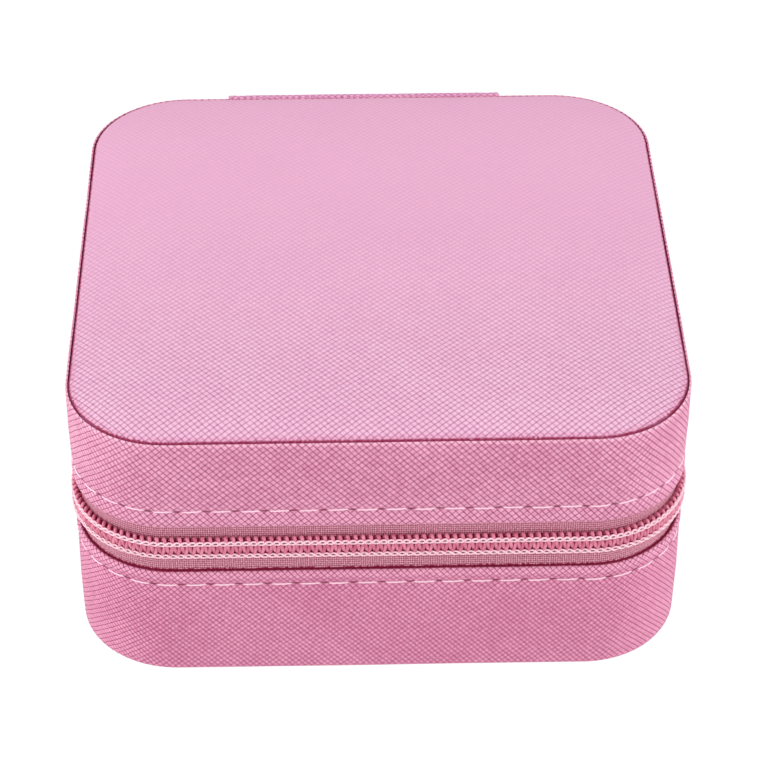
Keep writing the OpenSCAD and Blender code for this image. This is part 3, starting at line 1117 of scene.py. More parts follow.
# %% Sewing thread finish
def thread_finish(name, dull, lit, glow=0.0):
    """Twisted sewing thread, with its ply as fine slanting ridges."""
    material, tree = new_material(name)
    place = surface_place(tree)
    axes = put(tree, "ShaderNodeSeparateXYZ", {0: place})
    slant = calc(tree, "ADD", axes.outputs["X"], calc(tree, "MULTIPLY", axes.outputs["Y"], 0.8))
    ply = calc(tree, "SINE", calc(tree, "MULTIPLY", slant, TURN / 0.33))
    colour = blend_colours(tree, ramp(tree, ply, -1.0, 0.8), dull, lit)
    values = {"Roughness": 0.6, "Specular IOR Level": 0.2}
    # The glow, where one is asked for, is painted light.
    values.update({"Emission Color": PAINTED_RED_GLOW, "Emission Strength": glow})
    return wire_shader(material, colour, calc(tree, "MULTIPLY", ply, 0.02), values)


# %% [markdown]
# A soft cord fills each coil from end to end. It is what the needle goes through, and from outside
# it shows only between the teeth, so it is coloured a near-black red: painted shade for the gaps.

# %% Filler cords
# The cord's near-black red and its faint glow are painted shade and painted light for the gaps of
# the coil.
cord_finish = thread_finish("filler cord", screen(78, 0, 28), screen(112, 6, 46), 0.12)
for side, half, body in HALVES:
    piece = core_cord(side).finish(f"coil_filler_{half}")
    dress(piece, cord_finish, "zip_coil", body)

# %% [markdown]
# The two threads of a row are waves in step with the teeth, one the mirror of the other. Each lies
# alternately over and under its partner, which a slow rise and fall of its height gives.

# %% Threads over the coils
coil_thread = thread_finish("coil thread", screen(238, 180, 198), screen(251, 218, 227))
for side, half, body in HALVES:
    first = COIL_END - TOOTH_PITCH * ((0.5 if side < 0 else 0.0) - 0.30)
    steps = np.arange(0, TEETH - 1, 1 / 6)
    walk = first - TOOTH_PITCH * steps
    strands = Strands()
    for way in (-1, 1):
        wave = np.sin(math.pi * steps)
        aside = way * 0.31 * np.sign(wave) * np.abs(wave) ** 0.6
        lift = way * 0.06 * np.cos(math.pi * steps) + 0.04 * np.cos(TURN * steps)
        rise = ROW_HEIGHT + parted(walk) + aside
        path, direction = along_case(walk, TAPE_OUT + 1.10 + lift, ZIP_Z + side * rise)
        strands.add(path, UPRIGHT, 0.175)
    piece = strands.finish(f"coil_thread_{half}")
    dress(piece, coil_thread, "seam_thread", body)

# %% [markdown]
# ## Seams
# A single row of long stitches holds each band's turned edge. The thread is a little paler than
# the leather. It comes up through one needle hole, lies across the valley of the seam and goes
# down through the next, so each stitch is a short arc with both ends under the surface.

# %% Stitches
seam_finish = thread_finish("seam thread", screen(238, 190, 208), screen(254, 234, 242))
STITCH_SHAPE = np.array(
    [
        (0.11, -0.42),
        (0.14, -0.24),
        (0.20, -0.12),
        (0.34, -0.05),
        (0.50, -0.03),
        (0.66, -0.05),
        (0.80, -0.12),
        (0.86, -0.24),
        (0.89, -0.42),
    ]
)
rng = np.random.default_rng(5)
for height, half, body in ((SEAM_LOW, "lower", "base"), (SEAM_HIGH, "upper", "lid")):
    strands = Strands()
    for start in np.arange(SPINE_RIGHT, SPINE_LEFT - STITCH_PITCH + 0.1, STITCH_PITCH):
        walk = start + STITCH_PITCH * STITCH_SHAPE[:, 0]
        slope = 0.13 + 0.05 * rng.standard_normal()
        z = height + slope * (0.5 - STITCH_SHAPE[:, 0]) + 0.03 * rng.standard_normal()
        path, direction = along_case(walk, -0.02 + STITCH_SHAPE[:, 1], z)
        strands.add(path, UPRIGHT, 0.125)
    piece = strands.finish(f"seam_stitches_{half}")
    dress(piece, seam_finish, "seam_thread", body, f"seam_thread_{half}")
    print(len(strands.points), "stitches in the", half, "seam")

# %% [markdown]
# ## The leather hinge
# At the back the zip stops and a doubled strip of leather takes over. It is sewn to both halves
# and bends at the zip's height each time the lid opens; here it is one mesh with a soft bend
# pressed in at that height. A second, thinner strip of lining closes the gap inside.

# %% Soft boxes
def soft_box(name, low, high, radius, step, swell_height=0.0, seed=0.0, shape=None):
    """A box with all edges rounded, made of an even grid on its six sides."""
    low = np.array(low, float)
    high = np.array(high, float)
    radius = min(radius, 0.499 * float(np.min(high - low)))
    ticks = []
    for axis in range(3):
        length = high[axis] - low[axis]
        inner = np.linspace(low[axis] + radius, high[axis] - radius, max(2, int(length / step) + 1))
        edge = radius * (1 - np.cos(np.linspace(0, math.pi / 2, 4)))
        ticks.append(np.unique(np.round(np.r_[low[axis] + edge, inner, high[axis] - edge], 5)))
    index = {}
    points = []
    faces = []
    surface = []

    def corner(place):
        key = tuple(place)
        if key not in index:
            index[key] = len(points)
            points.append(key)
        return index[key]

    for axis in range(3):
        a, b = [k for k in range(3) if k != axis]
        for value in (low[axis], high[axis]):
            for i in range(len(ticks[a]) - 1):
                for j in range(len(ticks[b]) - 1):
                    face = []
                    for da, db in ((0, 0), (1, 0), (1, 1), (0, 1)):
                        place = [0.0, 0.0, 0.0]
                        place[axis] = float(value)
                        place[a] = float(ticks[a][i + da])
                        place[b] = float(ticks[b][j + db])
                        face.append(corner(place))
                        surface.append((place[a], place[b]))
                    faces.append(face)
    cloud = np.array(points)
    core = np.clip(cloud, low + radius, high - radius)
    away = cloud - core
    away /= np.maximum(np.linalg.norm(away, axis=1), 1e-9)[:, None]
    cloud = core + away * radius
    if swell_height:
        cloud += away * swell(cloud, swell_height, 7.0, seed)[:, None]
    if shape is not None:
        cloud = shape(cloud)
    return finish_mesh(name, cloud, faces, surface)


# %% [markdown]
# The spine is a strip with a stitched valley along both sides and a bend at the zip's height,
# where it has already been folded many times.

# %% Spine
SPINE_SHADES = (screen(206, 136, 168), screen(228, 166, 194), screen(140, 66, 104))


def spine_shape(cloud):
    """Presses a stitched valley near both long edges and a soft bend at the zip's height."""
    x, y, z = cloud.T
    from_side = SPINE_HALF - np.abs(x - SPINE_X)
    outside = np.clip((y - spine_low[1]) / 1.2, 0, 1)
    valley = 0.16 * np.exp(-(((from_side - 2.4) / 0.6) ** 2))
    from_bend = z - ZIP_Z
    bend = 0.35 * np.exp(-((from_bend / 1.6) ** 2))
    ripples = 0.12 * np.cos(from_bend * 2.2) * np.exp(-((from_bend / 5.0) ** 2))
    y = y - outside * (valley + bend + ripples)
    return np.column_stack([x, y, z])


spine = soft_box(
    "spine_leather",
    (SPINE_X - SPINE_HALF, HALF + 0.02, 1.5),
    (SPINE_X + SPINE_HALF, HALF + 1.25, LID_TOP + 0.1),
    0.45,
    0.8,
    swell_height=0.05,
    seed=2.0,
    shape=spine_shape,
)
spine_leather = leather_finish(
    "leather, spine",
    SPINE_SHADES,
    pitch=0.84,
    # This line paints the spine's top face in the top panel's paler tone: painted light from above.
    lines=[(HALF + 0.5, 0.9, 0.2, 0.9, screen(204, 146, 180), "all")],
)
dress(spine, spine_leather, "spine_leather", None, "spine_strip_lower", "spine_strip_upper")
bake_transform(spine)

# %% [markdown]
# Behind the spine, and everywhere inside, the case is lined with short-pile velvet. Pile scatters
# light towards the edges of what you see, which the shader calls sheen, and it shows patches
# wherever a finger has brushed it. A fine random bump gives the pile its grain.

# %% Velvet finish
def velvet_finish(name, deep, lit):
    """Short-pile velvet with brushed patches."""
    material, tree = new_material(name)
    place = solid_place(tree)
    patch = use_group(tree, handling, {"Place": place, "Size": 9.0})["Tone"]
    pile = noise_value(tree, place, 4.5, 3.0)
    share = calc(tree, "MULTIPLY", patch, 0.3)
    share = calc(tree, "ADD", share, calc(tree, "MULTIPLY", pile, 0.6))
    colour = blend_colours(tree, share, deep, lit)
    values = {"Roughness": 0.92, "Sheen Weight": 0.5, "Sheen Roughness": 0.4}
    return wire_shader(material, colour, pile, values, strength=0.7, depth=MM * 0.25)


velvet = velvet_finish("velvet, pink", screen(206, 128, 156), screen(236, 172, 194))
velvet_pale = velvet_finish("velvet, rolls", screen(222, 150, 176), screen(244, 190, 208))

# %% [markdown]
# The gusset is a strip of this velvet behind the spine. It closes the gap at the hinge.

# %% Gusset
gusset_low, gusset_high = size_of("spine_gusset_lower")
gusset_top = size_of("spine_gusset_upper")[1][2]
gusset = soft_box(
    "spine_gusset_cloth", gusset_low, (gusset_high[0], gusset_high[1], gusset_top), 0.15, 0.9
)
dress(gusset, velvet, "velvet", None, "spine_gusset_lower", "spine_gusset_upper")
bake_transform(gusset)

# %% [markdown]
# The spine's own stitches are shorter than the seams', and they leave out the bend, where a needle
# hole would tear.

# %% Stitches on the spine
SPINE_PITCH = 3.4
strands = Strands()
for side in (-1, 1):
    x = SPINE_X + side * (SPINE_HALF - 2.4)
    for start in np.arange(3.2, LID_TOP - 4.5, SPINE_PITCH):
        if abs(start + SPINE_PITCH / 2 - ZIP_Z) < 3.2:
            continue
        z = start + SPINE_PITCH * STITCH_SHAPE[:, 0]
        y = HALF + 1.16 + STITCH_SHAPE[:, 1] * 0.8
        path = np.column_stack([np.full(len(z), x), y, z])
        strands.add(path, np.array([1.0, 0.0, 0.0]), 0.125)
spine_stitches = strands.finish("spine_stitches")
dress(spine_stitches, seam_finish, "seam_thread")
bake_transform(spine_stitches)

# %% [markdown]
# ## Velvet inside
# The lining goes up the inside wall, over the top of the frame and down behind the zip tape. It
# is the same walk round the case as the bands, on the inside, with its own profile.

# %% Wall linings
wall_in = size_of("base_floor_pad")[1][0] - HALF
floor_top = size_of("base_floor_pad")[1][2]
lid_ceiling = size_of("necklace_strip")[1][2]


def lining_profile(foot, rim, side):
    """The wall lining's (out, z) outline: up the wall, over the rim, down behind the tape."""
    corners = [
        (wall_in, foot, 0.0),
        (wall_in + 0.02, rim - side * 0.2, 0.75),
        (wall_in + 1.0, rim, 0.5),
        (-2.78, rim - side * 0.05, 0.55),
        (-2.74, ZIP_Z - side * 3.9, 0.3),
        (-1.56, ZIP_Z - side * 4.9, 0.3),
        (-1.56, ZIP_Z - side * 6.4, 0.2),
        (-3.3, ZIP_Z - side * 5.2, 0.2),
        (-3.4, rim - side * 0.9, 0.2),
        (wall_in + 0.75, rim - side * 0.9, 0.2),
        (wall_in + 0.75, foot, 0.0),
    ]
    return subdivided(rounded(corners, 3), 1.8)


for foot, rim, side, half, body in (
    (floor_top - 0.6, ZIP_Z - 0.42, 1, "base", "base"),
    (lid_ceiling + 0.5, ZIP_Z + 0.42, -1, "lid", "lid"),
):
    profile = lining_profile(foot, rim, side)
    wall = band_round(
        f"{half}_wall_lining", profile, lengths_along(profile), lap_steps=168,
        swell_height=0.08, seed=21.0 + side,
    )
    dress(wall, velvet, "velvet", body, f"{half}_lining", f"{half}_frame")

# %% [markdown]
# The floor and the lid's ceiling are thin velvet-covered pads, cut to the inside of the walls. The
# panel helper that made the top makes them too, only flatter.

# %% Floor and ceiling
def floor_height(depth):
    """A flat pad with a soft rim."""
    return floor_top - 0.35 + 0.33 * rolled_edge(depth, 0.8)


def ceiling_height(depth):
    """The same pad upside down in the lid."""
    return lid_ceiling + 0.4 - 0.38 * rolled_edge(depth, 0.8)


pad_out = wall_in - 0.05
floor = panel("base_floor_pad_velvet", pad_out, floor_height, [(pad_out, 2.2)], rings=24)
dress(floor, velvet, "velvet", "base", "base_floor_pad")
ceiling = panel(
    "lid_ceiling_velvet", pad_out, ceiling_height, [(pad_out, lid_ceiling + 0.7)], rings=24
)
dress(ceiling, velvet, "velvet", "lid")

# %% [markdown]
# ## Ring rolls
# Rings are held between eight foam rolls wrapped in velvet, which touch along their sides. Foam
# cut by hand is never straight: each roll bulges a little differently. A cloth simulation was
# considered and left out, because the rolls are stiff foam that fills its cover, so a rounded
# loaf with a slow random swell is closer to what they are.

# %% Rolls
def roll_outline(half_width, height, count=30):
    """A loaf's (y, z) outline: flat foot, upright sides that pinch in a little, round top."""
    corners = [
        (-half_width * 0.93, 0.0, 0.8),
        (-half_width, height * 0.35, 3.0),
        (-half_width, height, half_width * 0.98),
        (half_width, height, half_width * 0.98),
        (half_width, height * 0.35, 3.0),
        (half_width * 0.93, 0.0, 0.8),
    ]
    return subdivided(rounded(corners, 7), 1.1)


ROLL_LENGTH = 38.8
ROLL_WAIST = 7.5
ROLL_END = 1.9
inner_flat = HALF - CORNER
inner_arc = CORNER + wall_in
close_to_start = [0, 0.25, 0.7, 1.3, 2.0]
close_to_end = [34.8, 35.5, 36.1, 36.55, 36.8]
stations = np.concatenate([close_to_start, np.linspace(3.2, 33.5, 22), close_to_end])
stations = stations / stations[-1]
for number in range(1, 9):
    low, high = size_of(f"ring_roll_{number}")
    middle = (low[1] + high[1]) / 2
    half_width = (high[1] - low[1]) / 2 - 0.02
    outline = roll_outline(half_width, high[2] - low[2])
    rows = []
    for f in stations:
        ease = rolled_edge(min(f, 1 - f) * ROLL_LENGTH, ROLL_END)
        y = outline[:, 0] * (0.72 + 0.28 * ease)
        z = low[2] + ROLL_WAIST + (outline[:, 1] - ROLL_WAIST) * (0.86 + 0.14 * ease)
        beyond = np.maximum(np.abs(middle + y) - inner_flat, 0)
        start = -inner_flat - np.sqrt(np.maximum(inner_arc**2 - beyond**2, 0)) + 0.25
        x = start + (high[0] - start) * f
        rows.append(np.column_stack([x, middle + y, z]))
    rolls = np.array(rows)
    proud = swell(rolls, 0.22, 6.0, seed=31.0 * number)
    rolls[..., 1] -= np.sign(rolls[..., 1] - middle) * np.abs(proud) * 0.35
    rolls[..., 2] -= np.abs(proud) * (rolls[..., 2] > low[2] + 8)
    faces, surface = skin(rolls, stations * ROLL_LENGTH, lengths_along(outline), loop_v=True)
    count = len(outline)
    caps = [end_cap(0, count), end_cap(len(stations) - 1, count, True)]
    roll = finish_mesh(f"ring_roll_velvet_{number}", rolls.reshape(-1, 3), faces, surface, caps)
    dress(roll, velvet_pale, "velvet", "base", f"ring_roll_{number}")

# %% [markdown]
# Beside the rolls a fixed wall and two loose dividers make four compartments. Each is stiff board
# wrapped in velvet, so its edges are soft. The loose ones slide up out of their small guides.

# %% Partition and dividers
boards = {"partition": "base", "divider_front": "divider_front", "divider_rear": "divider_rear"}
for node, body in boards.items():
    low, high = size_of(node)
    board = soft_box(f"{node}_velvet", low, high, 0.6, 2.2, swell_height=0.07, seed=low[1])
    dress(board, velvet, "velvet", body, node)
cover_node("divider_guides", velvet)

# %% [markdown]
# ## Inside the lid
# A leather strip is sewn to the lid's ceiling, with three soft tongues that snap down over
# necklaces. Behind it is a gathered pocket that catches the chains, with an elastic hem.

# %% Strip and tongues
STRIP_SHADES = (screen(218, 140, 174), screen(238, 172, 200), screen(160, 84, 120))
strip_leather = leather_finish("leather, necklace strip", STRIP_SHADES, pitch=0.6, relief=0.04)
low, high = size_of("necklace_strip")
strip = soft_box("necklace_strip_leather", low, high, 0.3, 1.6, swell_height=0.05, seed=9.0)
dress(strip, strip_leather, "strip_leather", "lid", "necklace_strip")


SNAP_Y = -22.5


def arc(centre, radius, angles):
    """Points on a circle."""
    return [(centre[0] + radius * math.cos(a), centre[1] + radius * math.sin(a)) for a in angles]


def tongue(name, low, high):
    """A flat tongue with a round free end, soft edges and a hole for its snap."""
    width = (high[0] - low[0]) / 2
    x0 = (low[0] + high[0]) / 2
    outline = arc((x0, high[1] - width), width, np.linspace(0, math.pi, 25))
    for f in np.linspace(0, 1, 12)[1:]:
        outline.append((low[0] + 0.3 * f, high[1] - width + (low[1] - high[1] + width) * f))
    for f in np.linspace(0, 1, 10)[1:]:
        outline.append((low[0] + 0.3 + (high[0] - low[0] - 0.6) * f, low[1]))
    for f in np.linspace(0, 1, 12)[1:-1]:
        outline.append((high[0] - 0.3 + 0.3 * f, low[1] + (high[1] - width - low[1]) * f))
    hole = np.array([x0, SNAP_Y])
    return flat_ring(name, np.array(outline), hole, 0.85, low[2], high[2], 0.35)


def flat_ring(name, outline, hole, hole_radius, bottom, top, edge, turned=None):
    """A flat plate with a hole: rows go from the hole over the top to the rim and back below."""
    away = outline - hole
    away /= np.linalg.norm(away, axis=1)[:, None]
    inner = hole + away * hole_radius
    middle = (bottom + top) / 2
    half = (top - bottom) / 2
    edge = min(edge, 0.98 * half)
    rows = []
    for share, aside, z in (
        (0, 0, middle), (0, 0, top - edge * 0.4), (0, edge * 0.6, top),
        (0.25, 0, top), (0.5, 0, top), (0.75, 0, top),
        (1, -edge * 0.9, top), (1, -edge * 0.25, top - edge * 0.45), (1, 0, middle),
        (1, -edge * 0.25, bottom + edge * 0.45), (1, -edge * 0.9, bottom),
        (0.5, 0, bottom), (0, edge * 0.6, bottom), (0, 0, bottom + edge * 0.4),
    ):
        plan = inner + (outline - inner) * share + away * aside
        rows.append(np.column_stack([plan, np.full(len(plan), z)]))
    grid = np.array(rows)
    nu, nv = grid.shape[:2]
    faces, _ = skin(grid, np.arange(nu + 1), np.arange(nv + 1), loop_u=True, loop_v=True)
    surface = [tuple(grid.reshape(-1, 3)[v, :2]) for face in faces for v in face]
    cloud = grid.reshape(-1, 3)
    if turned is not None:
        cloud = turned(cloud)
    return finish_mesh(name, cloud, faces, surface)


for where in ("left", "middle", "right"):
    low, high = size_of(f"necklace_flap_{where}")
    flap = tongue(f"necklace_tongue_{where}", low, high)
    dress(flap, strip_leather, "strip_leather", f"flap_{where}", f"necklace_flap_{where}")

# %% [markdown]
# The pocket is cut wider than its opening and gathered onto elastic, so its cloth falls in small
# upright folds that die out towards the back seam. The folds follow from the cut: the flat width
# is the pocket's width plus what the gathers take up.

# %% Lid pocket
pocket_low, pocket_high = size_of("lid_pocket")
POCKET_COLUMNS = 230
POCKET_ROWS = 26
GATHERS = 19
across_cloth = np.linspace(0, 1, POCKET_COLUMNS)
down_cloth = np.linspace(0, 1, POCKET_ROWS)
pocket_drop = pocket_high[2] - pocket_low[2] - 0.5
half_pocket = pocket_high[0] - 0.25
grid = np.zeros((POCKET_COLUMNS, POCKET_ROWS, 3))
for i, u in enumerate(across_cloth):
    x = -half_pocket + 2 * half_pocket * u
    from_side = min(u, 1 - u) * 2 * half_pocket
    side_ease = 1 - (1 - min(from_side / 5.0, 1)) ** 2.4
    for j, v in enumerate(down_cloth):
        y = pocket_high[1] - 0.3 + (pocket_low[1] + 0.4 - pocket_high[1]) * v
        back_ease = 1 - (1 - min(v / 0.16, 1)) ** 2.2
        wander = 1.3 * noise.noise(Vector((u * 9, v * 2, 4)))
        gather = 0.42 * math.sin(u * TURN * GATHERS + wander) * v**0.8
        sag = 0.35 * noise.noise(Vector((x / 11, y / 13, 7.0)))
        depth = (pocket_drop - 0.7 + sag) * side_ease * back_ease + gather * side_ease * back_ease
        grid[i, j] = (x + 0.25 * gather, y, pocket_high[2] - 0.05 - max(depth, 0))
flat_width = 2 * half_pocket * 1.16
flat_length = (pocket_high[1] - pocket_low[1]) + pocket_drop * 0.75
faces, surface = skin(grid, across_cloth * flat_width, down_cloth * flat_length)
pocket = finish_mesh("lid_pocket_cloth", grid.reshape(-1, 3), faces, surface)
thick = pocket.modifiers.new("cloth thickness", "SOLIDIFY")
thick.thickness = 0.3 * MM
thick.offset = 0
pocket_velvet = velvet_finish("velvet, pocket", screen(212, 136, 164), screen(240, 180, 200))
dress(pocket, pocket_velvet, "velvet", "lid", "lid_pocket")
print(f"pocket cloth cut {flat_width:.0f} x {flat_length:.0f} mm")

# %% [markdown]
# The elastic along the pocket's mouth pulls the cloth into small puckers. Its ends run up to the
# ceiling, where it is sewn in with the pocket's sides.

# %% Elastic hem
elastic_low, elastic_high = size_of("pocket_elastic")


def ruched(cloud):
    """Gathers the hem into small puckers and lets its ends rise to the ceiling's side seams."""
    x, y, z = cloud.T
    from_end = half_pocket - np.abs(x)
    pucker = 0.16 * np.sin(x * TURN / 2.1) * np.clip(from_end / 3, 0, 1)
    z = z + pucker + 0.12 * np.sin(x * TURN / 5.3)
    y = y + 0.18 * np.sin(x * TURN / 2.1 + 1.0)
    z = z + 5.0 * np.clip(1 - from_end / 5.0, 0, 1) ** 2.4
    return np.column_stack([x, y, z])


hem = soft_box(
    "pocket_elastic_hem",
    (-half_pocket, elastic_low[1] + 0.1, elastic_low[2] + 0.25),
    (half_pocket, elastic_high[1], elastic_high[2] + 0.35),
    0.3,
    0.55,
    shape=ruched,
)
dress(hem, velvet, "velvet", "lid", "pocket_elastic")

# %% [markdown]
# ## Metal parts
# The slider, its pull and the snaps are die-cast and plated in pale gold. Plating keeps small
# polishing marks and dulls in patches, so roughness varies while the colour hardly does.

# %% Group: metal wear
wear, g_in, g_out = new_group("metal wear", [("Place", None), ("Size", 1.5)], ["Dull", "Scratch"])
shrunk = scaled(wear, g_in["Place"], calc(wear, "DIVIDE", 1.0, g_in["Size"]))
drawn_out = vector_calc(wear, "MULTIPLY", shrunk, (1.0, 14.0, 14.0))
wear.links.new(ramp(wear, noise_value(wear, shrunk, 1.0, 4.0), 0.35, 0.7), g_out["Dull"])
wear.links.new(ramp(wear, noise_value(wear, drawn_out, 1.0, 3.0), 0.4, 0.65), g_out["Scratch"])

# %% [markdown]
# The gold is all one finish. Four small parts of the working model are metal already and have the
# right shape, so they only need to be covered with it.

# %% Gold finish
def gold_finish():
    """Pale gold plating with polishing marks."""
    material, tree = new_material("gold plating")
    marks = use_group(tree, wear, {"Place": solid_place(tree), "Size": 1.6})
    colour = blend_colours(tree, marks["Dull"], screen(236, 196, 150), screen(214, 168, 118))
    fine = calc(tree, "MULTIPLY", marks["Scratch"], 0.08)
    rough = calc(tree, "ADD", ramp(tree, marks["Dull"], 0, 1, 0.16, 0.30), fine)
    values = {"Metallic": 1.0, "Roughness": rough}
    return wire_shader(material, colour, marks["Scratch"], values, strength=0.25, depth=MM * 0.05)


gold = gold_finish()
for node in ("slider_bridge", "pull_ring", "zipper_stops_lower", "zipper_stops_upper"):
    cover_node(node, gold)

# %% [markdown]
# The slider is two shaped plates joined by a wedge, with lips that squeeze the two coils together.
# Its nose is wide, where the halves come in apart, and its tail is narrow. Each plate is a soft
# box pulled into that shape, so its edges stay round. A real wedge parts the coils as it passes.
# These coils stay where they are, so the wedge is two stubs, one on each plate, that the coils
# pass between.

# %% Slider
slider_low, slider_high = size_of("slider_body")
slider_half = (slider_high[2] - slider_low[2]) / 2


def slider_taper(cloud):
    """Narrows the tail, rounds the nose and crowns the outer plate."""
    x, y, z = cloud.T
    f = (y - slider_low[1]) / (slider_high[1] - slider_low[1])
    width = 0.80 + 0.20 * np.clip(f / 0.6, 0, 1) - 0.16 * np.clip((f - 0.8) / 0.2, 0, 1) ** 2
    z = ZIP_Z + (z - ZIP_Z) * width
    crown = 0.16 * (1 - ((z - ZIP_Z) / slider_half) ** 2) * (x > HALF + 1.0)
    return np.column_stack([x - 0.16 * (x > HALF + 1.0) + crown, y, z])


def slider_part(name, low, high, radius, shape=slider_taper):
    """One part of the slider, gold, riding with it."""
    part = soft_box(name, low, high, radius, 0.5, shape=shape)
    return dress(part, gold, "gold_metal", "slider")


plate_out = slider_high[0] - 0.65
plate_in = HALF - 1.68
outer = slider_part(
    "slider_outer_plate", (plate_out, slider_low[1], slider_low[2]), slider_high, 0.3
)
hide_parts("slider_body")
slider_part("slider_inner_plate", slider_low, (plate_in, slider_high[1], slider_high[2]), 0.3)
for part, inner, outer_end in (
    ("outer", HALF + 0.72, plate_out + 0.2),
    ("inner", HALF - 1.75, HALF - 1.30),
):
    slider_part(
        f"slider_wedge_{part}",
        (inner, SLIDER_Y + 1.6, ZIP_Z - 0.42),
        (outer_end, SLIDER_Y + 4.0, ZIP_Z + 0.42),
        0.2,
        None,
    )
for side, edge in ((-1, slider_low[2]), (1, slider_high[2])):
    ends = sorted((edge, edge - side * 0.72))
    slider_part(
        f"slider_lip_{'lower' if side < 0 else 'upper'}",
        (HALF - 0.75, slider_low[1] + 1.1, ends[0]),
        (plate_out + 0.2, slider_high[1] - 1.1, ends[1]),
        0.22,
    )

# %% [markdown]
# The pull is a flat drop: a small round eye that the ring goes through, a waist, and a wide round
# end to hold. It is one outline with a hole in it, so the plate helper of the tongues makes it,
# turned to hang upright.

# %% Pull tab
TAB_WAIST = 1.75
EYE_RADIUS = 1.9
tab_low, tab_high = size_of("pull_tab")
eye = np.array([(tab_low[1] + tab_high[1]) / 2, tab_high[2] - EYE_RADIUS])
end_radius = (tab_high[1] - tab_low[1]) / 2
end_middle = tab_low[2] + end_radius


def flank(side, shares):
    """One long side of the tab, which widens towards its free end."""
    return [
        (
            eye[0] + side * (TAB_WAIST + (end_radius - TAB_WAIST) * f * f),
            eye[1] + (end_middle - eye[1]) * f,
        )
        for f in shares
    ]


down = np.linspace(0.08, 0.92, 12)
outline = arc(eye, EYE_RADIUS, np.linspace(0.02 * math.pi, 0.98 * math.pi, 20))
outline += flank(-1, down)
outline += arc((eye[0], end_middle), end_radius, np.linspace(math.pi, TURN, 24))
outline += flank(1, down[::-1])
tab = flat_ring(
    "pull_tab_plate",
    np.array(outline),
    eye,
    0.8,
    tab_low[0],
    tab_high[0],
    0.3,
    turned=lambda cloud: cloud[:, [2, 0, 1]],
)
dress(tab, gold, "gold_metal", "tab", "pull_tab")

# %% [markdown]
# The snaps are pressed from thin sheet: a domed cap outside each tongue, a small rivet through it,
# and a ringed stud under it on the lid. Turning a profile round its axis gives exactly that.

# %% Snaps
def lathe(name, centre, profile, steps=40):
    """Turns a (radius, z) profile round an upright axis. It starts and ends on the axis."""
    profile = np.array(profile)
    angles = np.arange(steps) / steps * TURN
    inner = profile[1:-1]
    ring = np.stack([np.cos(angles), np.sin(angles)], -1)
    grid = np.zeros((len(inner), steps, 3))
    grid[..., :2] = centre[:2] + inner[:, 0][:, None, None] * ring[None]
    grid[..., 2] = inner[:, 1][:, None]
    girth = np.arange(steps + 1) * 0.2
    faces, surface = skin(grid, lengths_along(inner, False), girth, loop_v=True)
    points = grid.reshape(-1, 3).tolist()
    for row, tip in ((0, profile[0]), (len(inner) - 1, profile[-1])):
        points.append([centre[0], centre[1], tip[1]])
        for k in range(steps):
            faces.append([row * steps + k, row * steps + (k + 1) % steps, len(points) - 1])
            surface += [(0, 0)] * 3
    return finish_mesh(name, points, faces, surface)


stud_low, stud_high = size_of("snap_studs")
for where in ("left", "middle", "right"):
    low, high = size_of(f"snap_cap_{where}")
    flap_low, flap_high = size_of(f"necklace_flap_{where}")
    centre = (low + high) / 2
    cap = lathe(
        f"snap_cap_{where}_dome",
        centre,
        [
            (0, low[2]), (0.8, low[2] + 0.03), (1.6, low[2] + 0.12), (2.3, low[2] + 0.32),
            (2.7, low[2] + 0.55), (2.8, low[2] + 0.7), (2.7, flap_low[2] - 0.01),
            (0.8, flap_low[2] - 0.01), (0.78, flap_high[2] + 0.02), (2.0, flap_high[2] + 0.02),
            (2.2, flap_high[2] + 0.12),
            (2.1, high[2] - 0.03), (1.2, high[2]), (0, high[2]),
        ],
    )
    dress(cap, gold, "gold_metal", f"flap_{where}", f"snap_cap_{where}")
    stud = lathe(
        f"snap_stud_{where}",
        centre,
        [
            (0, stud_low[2] + 0.12), (0.9, stud_low[2] + 0.12), (1.1, stud_low[2] + 0.02),
            (1.4, stud_low[2]), (1.8, stud_low[2] + 0.06), (2.3, stud_low[2] + 0.25),
            (2.4, stud_high[2] - 0.05), (2.3, stud_high[2]), (0, stud_high[2]),
        ],
    )
    dress(stud, gold, "gold_metal", "lid")
    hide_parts("snap_studs")

# %% [markdown]
# ## Camera, light and table
# The case is looked at from in front and well above, through a long lens, so its edges hardly
# converge. The camera is placed by its own three directions, which is exact, where three typed
# angles would hide which way is up.

# %% Camera
CAMERA_AT = Vector((-6.8, -367.2, 311.4)) * MM
PITCH = math.radians(38.3)
YAW = math.radians(1.16)
ROLL = math.radians(-0.06)
level = math.cos(PITCH)
forward = Vector((math.sin(YAW) * level, math.cos(YAW) * level, -math.sin(PITCH)))
right = Vector((math.cos(YAW), -math.sin(YAW), 0))
upward = right.cross(forward)
across = math.cos(ROLL) * right + math.sin(ROLL) * upward
above = -math.sin(ROLL) * right + math.cos(ROLL) * upward
lens = bpy.data.cameras.new("camera")
lens.lens = 126.58
lens.sensor_width = 36
lens.clip_start = 0.01
camera = bpy.data.objects.new("camera", lens)
camera.matrix_world = Matrix(
    [
        [across.x, above.x, -forward.x, CAMERA_AT.x],
        [across.y, above.y, -forward.y, CAMERA_AT.y],
        [across.z, above.z, -forward.z, CAMERA_AT.z],
        [0, 0, 0, 1],
    ]
)
bpy.context.scene.collection.objects.link(camera)
bpy.context.scene.camera = camera
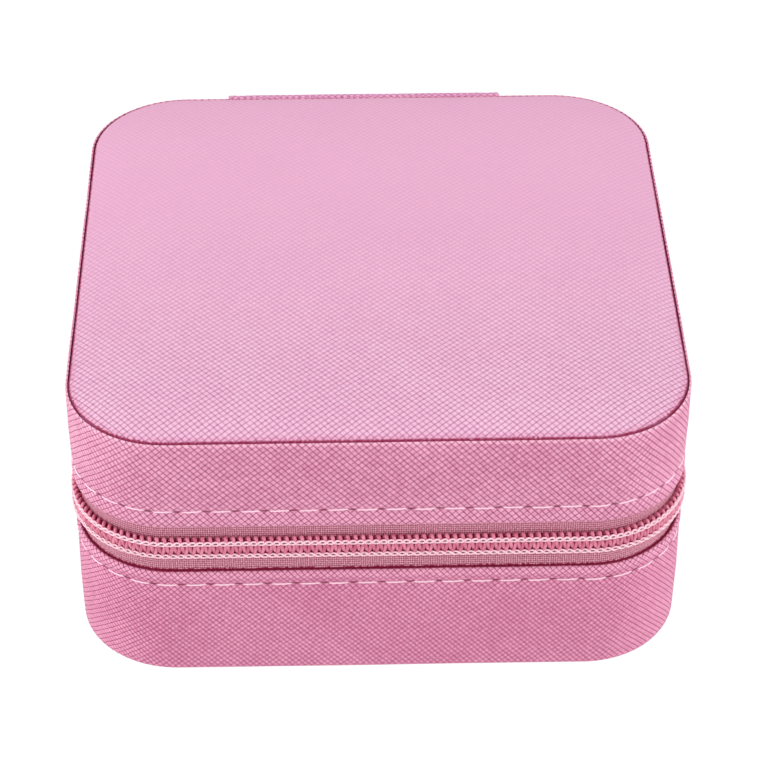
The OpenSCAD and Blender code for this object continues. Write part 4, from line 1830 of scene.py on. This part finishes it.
print(f"camera {-CAMERA_AT.y / MM:.0f} mm in front and {CAMERA_AT.z / MM:.0f} mm up")

# %% [markdown]
# The light is a white room with softboxes overhead, in front and, larger, on both sides. The table
# is a glowing white panel, as small goods are often lit: it keeps the pink clean, the grain shows
# as soft relief, and the case stands on pure white with no shadow.

# %% Light and table
def softbox(name, at, look_at, width, power):
    """A square area light that faces a point."""
    light = bpy.data.lights.new(name, "AREA")
    light.shape = "SQUARE"
    light.size = width
    light.energy = power
    lamp = bpy.data.objects.new(name, light)
    lamp.location = at
    lamp.rotation_euler = (Vector(look_at) - Vector(at)).to_track_quat("-Z", "Y").to_euler()
    bpy.context.scene.collection.objects.link(lamp)
    print(f"{name}: {width} m wide, {power} W")


softbox("overhead softbox", (-0.12, 0.05, 0.75), (0, 0, 0.03), 0.6, 2.7)
softbox("front fill", (0.1, -0.9, 0.35), (0, 0, 0.02), 0.7, 0.7)
for side, name in ((-1, "left fill"), (1, "right fill")):
    softbox(name, (side * 0.85, -0.24, 0.34), (0, 0, 0.02), 0.8, 6.6)
world = bpy.data.worlds.new("white room")
world.use_nodes = True
background = world.node_tree.nodes["Background"]
plug(world.node_tree, background, {"Color": (1, 1, 1, 1), "Strength": 0.57})
bpy.context.scene.world = world
bpy.context.scene.view_settings.view_transform = "Standard"

TABLE_HALF = 6
TABLE_DROP = -0.0002
quarters = ((-1, -1), (1, -1), (1, 1), (-1, 1))
corners = [(x * TABLE_HALF, y * TABLE_HALF, TABLE_DROP) for x, y in quarters]
table_mesh = bpy.data.meshes.new("table")
table_mesh.from_pydata(corners, [], [(0, 1, 2, 3)])
table = bpy.data.objects.new("table", table_mesh)
bpy.context.scene.collection.objects.link(table)
table_finish, table_tree = new_material("glowing table")
values = {"Base Color": (0, 0, 0, 1), "Specular IOR Level": 0.0}
values.update({"Emission Color": (1, 1, 1, 1), "Emission Strength": 1.05})
plug(table_tree, table_tree.nodes["Principled BSDF"], values)
table_mesh.materials.append(table_finish)
